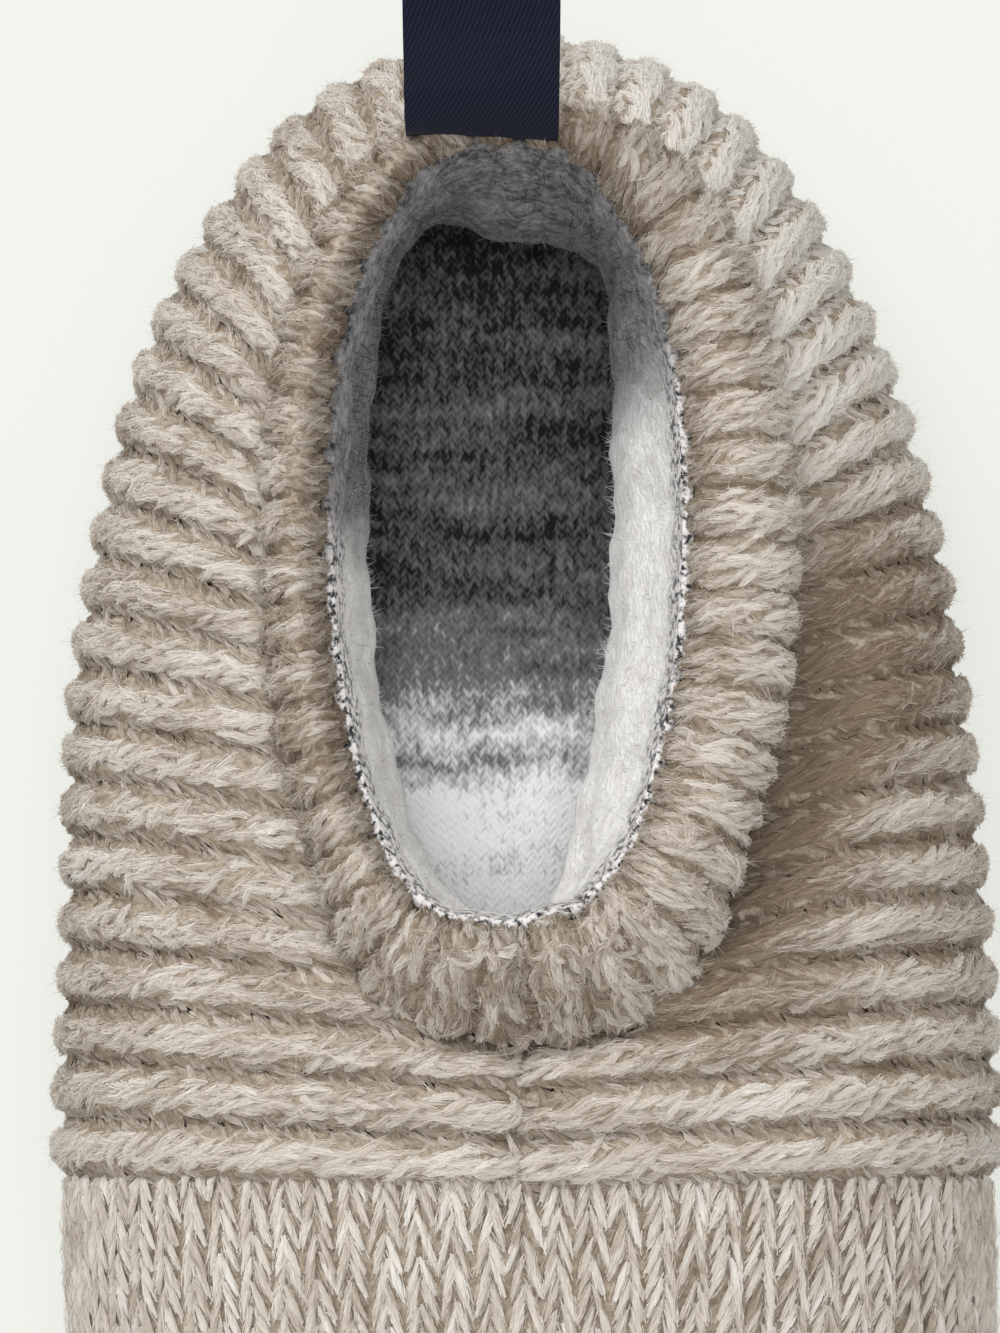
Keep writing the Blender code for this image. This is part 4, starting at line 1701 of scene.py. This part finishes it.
@dataclass
class RolledCollar:
    """Thick knitted roll round the opening, ribbed across, with rope stitches over its crest."""

    form: SlipperForm
    width_end: float = 4.9
    width_side: float = 6.5
    skew: float = 2.2
    front_skew: float = 1.5
    front_slack: float = 1.8
    slack_rise: Span = (0.15, 0.75)
    front_rise: Span = (0.3, 0.95)
    ribs: int = 44
    rib_height: float = 0.9
    rib_power: float = 0.8
    columns_per_rib: int = 6
    seam_depth: float = 2.2
    seam_width: float = 1.6
    seam_merge: float = 0.02
    heel_ribs: int = 2
    heel_ribs_outer: int = 3
    heel_end: float = 6.0
    around: int = 32
    samples: int = 800
    smoothing: int = 6
    strand_corners: Span = (1.5, 7.4)
    strand_samples: int = 90
    rib_fibres: tuple[int, int] = (54, 24)
    shade: CollarShade = CollarShade()
    loose: LooseFibres = field(default_factory=lambda: LooseFibres(longest=3.0, rise=0.4))
    # Painted shade: strands darken towards the collar's inner edge, and trough strands are darker than the
    # ribs' strands.
    stitch: RopeStitch = field(default_factory=lambda: RopeStitch(
        rows=(0.22, 0.41, 0.59, 0.78), pitch=2.4, half_length=2.3, slant=math.radians(12), radius=0.52,
        tint=0.55, painted_shade_run=(0.06, 0.08, 0.08, 0.0, -0.14, -0.24, -0.3), edge_row_shade=-0.12))
    trough: RopeStitch = field(default_factory=lambda: RopeStitch(
        rows=(0.0,), pitch=2.0, half_length=1.9, slant=math.radians(-15), height=-0.3, arch=0.2, radius=0.45,
        points=4, tint=0.3, painted_shade_run=(0.1, 0.0, -0.1, -0.25, -0.3, -0.3)))

    STEP = FrontCurls.STEP

    def __post_init__(self) -> None:
        """Tabulates the rim, its inward direction and the roll's width at even steps."""
        tip = self.form.tip_length
        half = tip * np.sin(np.linspace(0, math.pi / 2, self.samples))
        lengths = np.concatenate([half, -half[-2:0:-1]])
        loop = self.form.point(lengths, np.ones_like(lengths))
        closed = np.vstack([loop, loop[:1]])
        arc = arc_length(closed)
        self.girth = arc[-1]
        count = len(half)
        self.lengths = np.concatenate([[-tip], lengths[count:], half])
        self.distances = np.concatenate([arc[count - 1:-1] - self.girth, arc[:count]])
        even = np.linspace(0, self.girth, self.samples + 1)
        rim = np.column_stack([np.interp(even, arc, closed[:, axis]) for axis in range(3)])[:-1]
        along = np.roll(rim, -self.smoothing, axis=0) - np.roll(rim, self.smoothing, axis=0)
        inward = np.column_stack([along[:, 1], -along[:, 0]])
        inward /= np.linalg.norm(inward, axis=1, keepdims=True)
        self.front = float(even[np.argmax(inward[:, 1])])
        self.table = np.column_stack([rim, inward, self.width(inward)])

    def width(self, inward: Array) -> Array:
        """Gives the roll's width by the direction that is inwards there.

        Args:
            inward: Directions that are inwards, seen from above.

        Returns:
            Widths.
        """
        end_or_side = self.width_end + (self.width_side - self.width_end) * np.abs(inward[..., 0])
        slack = self.front_slack * smooth_step(inward[..., 1], *self.slack_rise)
        return end_or_side - self.skew * inward[..., 0] + self.front_skew * inward[..., 1] - slack

    def rim_at(self, distance: Array) -> tuple[Array, Array, Array]:
        """Reads the rim's points, inward directions and roll widths at distances along the rim.

        Args:
            distance: Distances from the heel.

        Returns:
            Points, directions and widths.
        """
        place = np.mod(np.asarray(distance) / self.girth, 1.0) * self.samples
        low = place.astype(int) % self.samples
        part = (place - np.floor(place))[..., None]
        row = self.table[low] * (1 - part) + self.table[(low + 1) % self.samples] * part
        return row[..., :3], row[..., 3:5], row[..., 5]

    def surface(self, distance: Array, corner: Array) -> Array:
        """Gives points of the ribbed roll at distances along the rim and places between its corners.

        Args:
            distance: Distances along the rim.
            corner: Places round the section, counted in its corners.

        Returns:
            Points.
        """
        rim, inward, width = self.rim_at(distance)
        wave = np.abs(np.sin(math.pi * distance / self.girth * self.ribs)) ** self.rib_power
        rib = self.rib_height * (wave - 0.5)
        front = smooth_step(inward[..., 1], *self.front_rise)
        corner = np.mod(corner, len(ROLL))
        columns = {name: np.array([getattr(p, name) for p in ROLL]) for name in RollPoint._fields[1:]}
        at = {name: catmull_rom(np.concatenate([v[-1:], v, v[:2]]), corner) for name, v in columns.items()}
        across = at["width_share"] * width + at["inward"]
        across = across + at["rib_inward"] * rib + at["front_inward"] * front
        off_seam = (np.mod(distance, self.girth) - self.front) / self.seam_width
        seam = self.seam_depth * front * np.exp(-off_seam ** 2)
        up = at["up"] + at["rib_up"] * (rib - seam) + at["front_up"] * front
        plan = rim[..., :2] + inward * across[..., None]
        return np.concatenate([plan, (rim[..., 2] + up)[..., None]], axis=-1)

    def roll(self) -> Piece:
        """Models the roll under the stitches.

        Returns:
            The new piece.
        """

        def laid(u: Array, v: Array) -> Array:
            """Wraps the grid along the rim and round the section."""
            return self.surface(u * self.girth, v * len(ROLL))

        piece = lay_grid("collar_roll", self.ribs * self.columns_per_rib, self.around, laid)
        close_seams(piece, self.seam_merge, True)
        return piece

    def build(self, rng: np.random.Generator) -> list[Piece]:
        """Builds and dresses the collar.

        Args:
            rng: Random draws.

        Returns:
            Roll, its yarn and its loose fibres.
        """
        roll = self.roll()
        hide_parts("collar")
        ropes, troughs = YarnBatch(), YarnBatch()
        along = np.linspace(*self.strand_corners, self.strand_samples)
        rib = self.girth / self.ribs
        for number in range(self.ribs):
            behind_tape = number < self.heel_ribs or self.ribs - number <= self.heel_ribs_outer
            reached = along[along < self.heel_end] if behind_tape else along
            for stitch, batch in ((self.stitch, ropes), (self.trough, troughs)):
                stitch.lay(batch, self.surface, number * rib, rib, reached, self.STEP, rng,
                           self.shade.painted_light_and_shade)
        FrontCurls().lay(ropes, self.surface, self.front, self.shade.painted_light_and_shade, rng)
        strands, fibres = spin("collar", "collar", ropes, troughs, self.rib_fibres, self.loose, rng)
        wear(WoolGround(name="matted_collar_wool").material(), roll)
        wear(WoolYarn(name="oatmeal_collar_yarn").material(), *strands)
        wear(WoolFuzz(name="loose_collar_fibre").material(), *fibres)
        pieces = [roll, *strands, *fibres]
        return pieces


class Hang(NamedTuple):
    """One row of the lining under the collar: where it hangs from the rim, and how the heel changes that."""

    reach: float
    heel_reach: float
    swell_share: float
    up: float
    heel_up: float


HANGS = (
    Hang(0.5, -2.0, 0.0, 5.4, 0.8),
    Hang(1.5, -1.4, 0.0, 1.6, 2.0),
    Hang(1.2, 0.0, 0.35, -4.5, 0.0),
    Hang(0.0, 0.0, 1.0, -13.0, 0.0),
    Hang(0.0, 0.0, 0.8, -24.0, 0.0),
)


@dataclass(frozen=True)
class FleeceHairs:
    """Short hairs over the fleece, which soften its face and its edge against the insole."""

    count: int = 9000
    width: float = 0.1
    shares: Span = (0.12, 0.75)
    root: float = 0.1
    stand: float = 0.7
    length: Span = (0.7, 1.7)
    tint: Spread = (0.7, 0.12)
    # Tint of the hairs in the painted shadow behind the heel.
    heel_shadow_tint: Spread = (0.15, 0.08)

    STEP = (0.5, 0.01)

    def piece(self, surface: Surface, reach: float, thickness: float, rng: np.random.Generator) -> Piece:
        """Lays the hairs.

        Args:
            surface: Lining's surface.
            reach: Length from the heel within which they stand.
            thickness: Lining's thickness.
            rng: Random draws.

        Returns:
            The new piece.
        """
        count = self.count
        length = rng.uniform(-1, 1, count) * reach
        share = rng.uniform(*self.shares, count)
        outward = surface_normal(surface, length, share, self.STEP)
        root = surface(length, share) + outward * (thickness - self.root)
        lit = unit(outward + np.array([0.0, 0.0, 1.0]))
        way = unit(rng.normal(0, 1, (count, 3)) + self.stand * outward)
        half = unit(np.cross(way, lit)) * self.width / 2
        tip = root + way * rng.uniform(*self.length, (count, 1))
        points = np.stack([root - half, root + half, tip], axis=1)
        # Hairs in the painted shadow behind the heel are dark.
        heel = smooth_step(root[:, 1] + FleeceLining.HEEL_SHADOW_SLANT * root[:, 0], *FleeceLining.HEEL_SHADOW_RISE)
        tint = rng.normal(*self.tint, count) * (1 - heel)
        tint = tint + rng.normal(*self.heel_shadow_tint, count) * heel
        return blade_piece("fleece_hairs", points, np.clip(tint, 0, 1), np.repeat(lit, 3, axis=0))


@dataclass
class Lining:
    """Fleece lining: sewn inside the collar, swelling inwards under it and running on to the toe."""

    form: SlipperForm
    collar: RolledCollar
    swell_inner: float = 6.5
    swell_outer: float = 2.8
    swell_heel: float = 5.6
    heel_corner: float = 4.0
    swell_front: float = 1.0
    heel_lean: float = 0.15
    heel_rise: Span = (0.7, 0.97)
    front_lap: float = 1.5
    tip_margin: float = 0.01
    thickness: float = 1.2
    open_columns: int = 64
    toe_columns: int = 21
    rows: int = 36
    seam_merge: float = 0.05
    clear: float = 0.6
    foot_clear: float = 1.0
    foot_shares: tuple[float, ...] = (0.36, 0.2, 0.1)
    ceiling_drop: float = 7.0
    ceiling_share: float = 0.999
    curve_open: float = 0.5
    curve_toe: float = 0.08
    crumple: float = 0.35
    # Each wave: radians to a millimetre round, radians down the whole depth, and size.
    crumple_waves: tuple[Point, ...] = ((0.33, 5.0, 1.0), (0.83, -13.0, 0.7))
    crumple_end: float = 0.7
    edge_shares: Span = (0.1, 0.2)
    hair_margin: float = 2.0

    DEPTH_SAMPLES = (60, 40)

    def swell(self, inward: Array) -> Array:
        """Gives how far the fleece swells under the collar, by the rim's inward direction.

        Args:
            inward: Directions that are inwards, seen from above.

        Returns:
            Distances.
        """
        side = np.where(inward[..., 0] < 0, self.swell_inner, self.swell_outer)
        end = np.where(inward[..., 1] < 0, self.swell_heel, self.swell_front)
        corner = self.heel_corner * (inward[..., 1] < 0) * 4 * (inward[..., 0] * inward[..., 1]) ** 2
        return side * inward[..., 0] ** 2 + end * inward[..., 1] ** 2 - corner

    def surface(self, length: Array, share: Array) -> Array:
        """Gives points of the lining, from the collar's inner edge down to the insole.

        Args:
            length: Signed lengths round the outline.
            share: Shares down the lining.

        Returns:
            Points.
        """
        form = self.form
        inset, foot = form.wall + self.clear, form.wall_foot_inset
        opened = np.abs(length) < form.tip_length + self.tip_margin
        distance = np.interp(length, self.collar.lengths, self.collar.distances)
        lapped = self.front_lap * np.sign(length) * (np.abs(length) > form.tip_length - self.tip_margin)
        rim, inward, width = self.collar.rim_at(distance + lapped)
        swell = self.swell(inward)
        heel = smooth_step(self.heel_lean * inward[..., 0] - inward[..., 1], *self.heel_rise)
        top = np.full_like(length, self.ceiling_share)
        ceiling = form.point(length, top, inset + self.ceiling_drop, foot)

        def hung(row: Hang) -> Array:
            """Gives points hung from the rim, or from the ceiling in front of the opening."""
            reach = width + row.reach + row.heel_reach * heel + row.swell_share * swell
            plan = rim[..., :2] + inward * reach[..., None]
            height = rim[..., 2] + (row.up + row.heel_up * heel)
            hanging = np.concatenate([plan, height[..., None]], axis=-1)
            return np.where(opened[..., None], hanging, ceiling)

        controls = [hung(row) for row in HANGS]
        for low in self.foot_shares:
            controls.append(form.point(length, np.full_like(length, low), inset + self.foot_clear, foot))
        knots = np.array([controls[0], *controls, controls[-1]])
        place = share * (len(controls) - 1)
        row = np.clip(np.floor(place).astype(int), 0, len(controls) - 2)
        t = (place - row)[..., None]
        each = np.arange(len(row))
        p0, p1, p2, p3 = (knots[row + step, each] for step in range(4))
        curve = np.where(opened, self.curve_open, self.curve_toe)[..., None]
        eased = t * t * (3 - 2 * t)
        points = (p1 + (p2 - p1) * (eased * 2 * curve + t * (1 - 2 * curve))
                  + curve * ((p2 - p0) * t * (1 - t) ** 2 - (p3 - p1) * t * t * (1 - t)))
        waves = (size * np.sin(along * length + down * share) for along, down, size in self.crumple_waves)
        kept = np.sin(math.pi * np.clip(share / self.crumple_end, 0, 1)) * opened
        points[..., :2] += inward * (self.crumple * sum(waves) * kept)[..., None]
        return points

    def build(self, rng: np.random.Generator) -> list[Piece]:
        """Args:
            rng: Random draws.

        Returns:
            Lining and hairs.
        """
        reach, tip = self.form.whole_length, self.form.tip_length
        opened = tip * np.sin(np.linspace(0, math.pi / 2, self.open_columns + 1))
        toe = np.linspace(tip, reach, self.toe_columns + 1)[1:]
        columns, laid = round_columns(np.concatenate([opened, toe]), self.surface)
        piece = lay_grid("fleece_lining", columns, self.rows, laid)
        edge = piece.data.attributes.new(FleeceLining.EDGE, "FLOAT", "POINT")
        rows = np.repeat(np.linspace(0, 1, self.rows + 1), columns + 1)
        edge.data.foreach_set("value", (1 - smooth_step(rows, *self.edge_shares)).astype(np.float32))
        close_seams(piece, self.seam_merge, False)
        places, down = (np.linspace(0, 1, count) for count in self.DEPTH_SAMPLES)
        depths = [arc_length(laid(np.full_like(down, u), down))[-1] for u in places]
        apply_modifier(piece, "SOLIDIFY", thickness=self.thickness * MM, offset=-1.0)
        wear(FleeceLining().material(), piece)
        hairs = FleeceHairs().piece(self.surface, tip - self.hair_margin, self.thickness, rng)
        # The hairs' darkest colour serves the painted shadow behind the heel.
        wear(WoolFuzz("loose_fleece_hair", "#39393b", "#c2c0be", "#e9e7e5").material(), hairs)
        return [piece, hairs]


@dataclass
class Insole:
    """Padded insole in marl jersey, dished under the foot with a soft raised rim."""

    form: SlipperForm
    thickness: float = 4.2
    dish: float = 1.4
    rim: float = 9.0
    rim_share: float = 0.8
    under_end: float = 0.4
    side_end: float = 0.5
    round_off: float = 1.6
    round_reach: float = 1.4
    seam_merge: float = 0.02
    columns: int = 160
    rows: int = 30

    def surface(self, length: Array, share: Array) -> Array:
        """Gives points from the underside's middle round the edge to the top's middle.

        Args:
            length: Signed lengths round the outline.
            share: Shares round the pad's section.

        Returns:
            Points.
        """
        form = self.form
        station = form.station(length)
        edge = station["reach"] - form.wall - form.wall_foot_inset - form.gap
        floor = form.sole_thickness + form.gap
        under, over = share < self.under_end, share >= self.side_end
        inwards = np.maximum(1 - (share - self.side_end) / (1 - self.side_end), 0)
        radius_share = np.where(under, share / self.under_end, np.where(over, inwards, 1.0))
        radius = edge * np.clip(radius_share, 0, 1)
        dished = self.dish * smooth_step(radius - edge + self.rim, 0, self.rim * self.rim_share)
        rounded = self.round_off * smooth_step(radius - edge + self.round_reach, 0, self.round_reach)
        top = floor + self.thickness + dished - rounded
        up_side = np.clip((share - self.under_end) / (self.side_end - self.under_end), 0, 1)
        side = floor + (self.thickness + self.dish - self.round_off) * up_side
        return form.place(station, radius, np.where(under, floor, np.where(over, top, side)))

    def build(self) -> Piece:
        """Returns:
            The new piece.
        """
        reach = self.form.whole_length

        def laid(u: Array, v: Array) -> Array:
            """Lays the grid round the outline and over the pad."""
            return self.surface((2 * u - 1) * reach, v)

        piece = lay_grid("insole_pad", self.columns, self.rows, laid)
        close_seams(piece, self.seam_merge, True)
        wear(MarlKnit().material(), piece)
        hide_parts("insole")
        return piece


@dataclass
class TapeLoop:
    """Folded twill tape at the heel, its two ends sewn in under the lining's edge."""

    collar: RolledCollar
    width: float = 16.0
    thickness: float = 0.9
    length: float = 42.0
    half_gap: float = 4.6
    root_half_gap: float = 0.65
    closing: float = 4.0
    lean: float = math.radians(28)
    bend: Span = (5.0, 21.0)
    root_drop: float = -1.0
    root_bow: float = 0.6
    outer_lift: float = 6.5
    seat: float = -3.0
    shift: float = -3.7
    sharp_edge: float = math.radians(40)
    columns: int = 16
    rows: int = 120
    line_samples: int = 200
    turn_samples: int = 600

    MAP = "weave"

    def line(self, turn: Array) -> tuple[Array, Array, Array]:
        """Gives the tape's middle line seen from the side, and its rise, at turns round the loop.

        Args:
            turn: Turns, from 0 to a whole turn.

        Returns:
            Places in Y, places in Z and rises.
        """
        rise = self.length * (1 - np.cos(turn)) / 2
        fine = np.linspace(0, self.length, self.line_samples)
        leans = self.lean * smooth_step(fine, *self.bend)
        middle_y = np.concatenate([[0], np.cumsum(np.sin(leans[:-1]) * np.diff(fine))])
        middle_z = np.concatenate([[0], np.cumsum(np.cos(leans[:-1]) * np.diff(fine))])
        lean = np.interp(rise, fine, leans)
        spread = self.half_gap * np.abs(np.sin(turn)) * np.sin(turn / 2) ** 2
        spread = spread + self.root_half_gap * np.minimum(1.0, self.closing * (1 - rise / self.length))
        leg = np.copysign(spread, turn - math.pi)
        return (np.interp(rise, fine, middle_y) + leg * np.cos(lean),
                np.interp(rise, fine, middle_z) - leg * np.sin(lean), rise)

    def build(self) -> Piece:
        """Returns:
            The new piece.
        """
        heel = self.collar.rim_at(np.zeros(1))[0][0]
        back = self.collar.width_end - self.collar.front_skew
        back = back + self.seat + self.root_half_gap + self.thickness
        fine = np.linspace(0, 2 * math.pi, self.turn_samples)
        arc = arc_length(np.column_stack(self.line(fine)[:2]))

        def laid(u: Array, v: Array) -> Array:
            """Lays the tape along its folded line."""
            y, z, rise = self.line(np.interp(v * arc[-1], arc, fine))
            across = 2 * u - 1
            low = 1 - smooth_step(rise, *self.bend)
            bow = self.root_bow * low * across ** 2
            lift = self.outer_lift * low * np.clip(-across, 0, 1)
            return np.column_stack([heel[0] + self.shift + across * self.width / 2,
                                    heel[1] - back + y - bow, heel[2] - self.root_drop + z + lift])

        piece = lay_grid("tape_loop", self.columns, self.rows, laid)
        layer = piece.data.uv_layers.active
        layer.name = self.MAP
        flat = np.empty(len(piece.data.loops) * 2, np.float32)
        layer.uv.foreach_get("vector", flat)
        flat = flat.reshape(-1, 2) * (self.width, arc[-1])
        layer.uv.foreach_set("vector", flat.astype(np.float32).ravel())
        apply_modifier(piece, "SOLIDIFY", thickness=self.thickness * MM, offset=0.0)
        bpy.ops.object.shade_smooth_by_angle(angle=self.sharp_edge)
        wear(TwillTape().material(), piece)
        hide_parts("pull_loop")
        LOG.info("tape is %.1f mm long", arc[-1])
        return piece


@dataclass(frozen=True)
class Studio:
    """Pale floor, soft light from the heel's outer side and the camera over the slipper."""

    floor_colour: str = "#6a6b68"
    floor_glow: str = "#d4d5d0"
    floor_roughness: float = 0.9
    floor_size_m: float = 6.0
    ambient: float = 0.75
    ambient_colour: tuple[float, float, float, float] = (1.0, 1.0, 0.99, 1.0)
    key_energy: float = 8.0
    key_place_m: Point = (-0.55, 0.75, 1.0)
    lamp_size_m: float = 0.5
    fill_energy: float = 7.5
    fill_place_m: Point = (0.0, 0.04, 1.2)
    camera_place_m: Point = (-0.003, -0.001, 0.72)
    camera_aim_m: Point = (-0.003, 0.057, 0.020)
    lens_mm: float = 172.0

    def floor(self) -> Piece:
        """Lays the floor.

        Returns:
            The new piece.
        """
        deselect()
        bpy.ops.mesh.primitive_plane_add(size=self.floor_size_m)
        floor = bpy.context.active_object
        floor.name = "studio_floor"
        paper = Shading("pale_paper_floor")
        paper.shader.inputs["Base Color"].default_value = linear(self.floor_colour)
        paper.shader.inputs["Roughness"].default_value = self.floor_roughness
        paper.shader.inputs["Emission Color"].default_value = linear(self.floor_glow)
        paper.shader.inputs["Emission Strength"].default_value = 1.0
        wear(paper.material, floor)
        return floor

    def light(self) -> None:
        """Sets the even room light, the soft key and the fill from above."""
        scene = bpy.context.scene
        scene.world = bpy.data.worlds.new("studio_room")
        scene.world.use_nodes = True
        room = scene.world.node_tree.nodes["Background"]
        room.inputs["Color"].default_value = self.ambient_colour
        room.inputs["Strength"].default_value = self.ambient
        self.lamp("soft_key", self.key_energy, self.key_place_m)
        self.lamp("soft_fill", self.fill_energy, self.fill_place_m)
        scene.view_settings.view_transform = "Standard"

    def lamp(self, name: str, energy: float, place: Point) -> None:
        """Hangs one square lamp that faces the slipper.

        Args:
            name: Lamp's name.
            energy: Power in watts.
            place: Place in metres.
        """
        lamp = bpy.data.lights.new(name, "AREA")
        lamp.energy = energy
        lamp.size = self.lamp_size_m
        hung = bpy.data.objects.new(name, lamp)
        hung.location = place
        hung.rotation_euler = (-Vector(place)).to_track_quat("-Z", "Y").to_euler()
        bpy.context.scene.collection.objects.link(hung)

    def camera(self) -> None:
        """Sets the camera over the slipper, with the heel at the top of the picture."""
        lens = bpy.data.cameras.new("camera")
        lens.lens = self.lens_mm
        camera = bpy.data.objects.new("camera", lens)
        place, aim = Vector(self.camera_place_m), Vector(self.camera_aim_m)
        camera.location = place
        camera.rotation_euler = (aim - place).to_track_quat("-Z", "Y").to_euler()
        bpy.context.scene.collection.objects.link(camera)
        bpy.context.scene.camera = camera

    def build(self) -> None:
        """Builds floor, lights and camera."""
        self.floor()
        self.light()
        self.camera()


def main() -> None:
    """Builds the slipper's pieces in order and sets the studio round them."""
    logging.basicConfig(level=logging.INFO, format="%(name)s: %(message)s")
    rng = np.random.default_rng(SEED)
    form = SlipperForm()
    collar = RolledCollar(form)
    pieces = KnitUpper(form).build(rng)
    pieces += collar.build(rng)
    pieces.append(Insole(form).build())
    pieces += Lining(form, collar).build(rng)
    pieces.append(TapeLoop(collar).build())
    wear(SoftSuede().material(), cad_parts["outsole"])
    for piece in pieces:
        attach(piece, BODY)
        LOG.info("%s: %d triangles", piece.name, len(piece.data.loops) - 2 * len(piece.data.polygons))
    Studio().build()


if __name__ == "__main__":
    main()
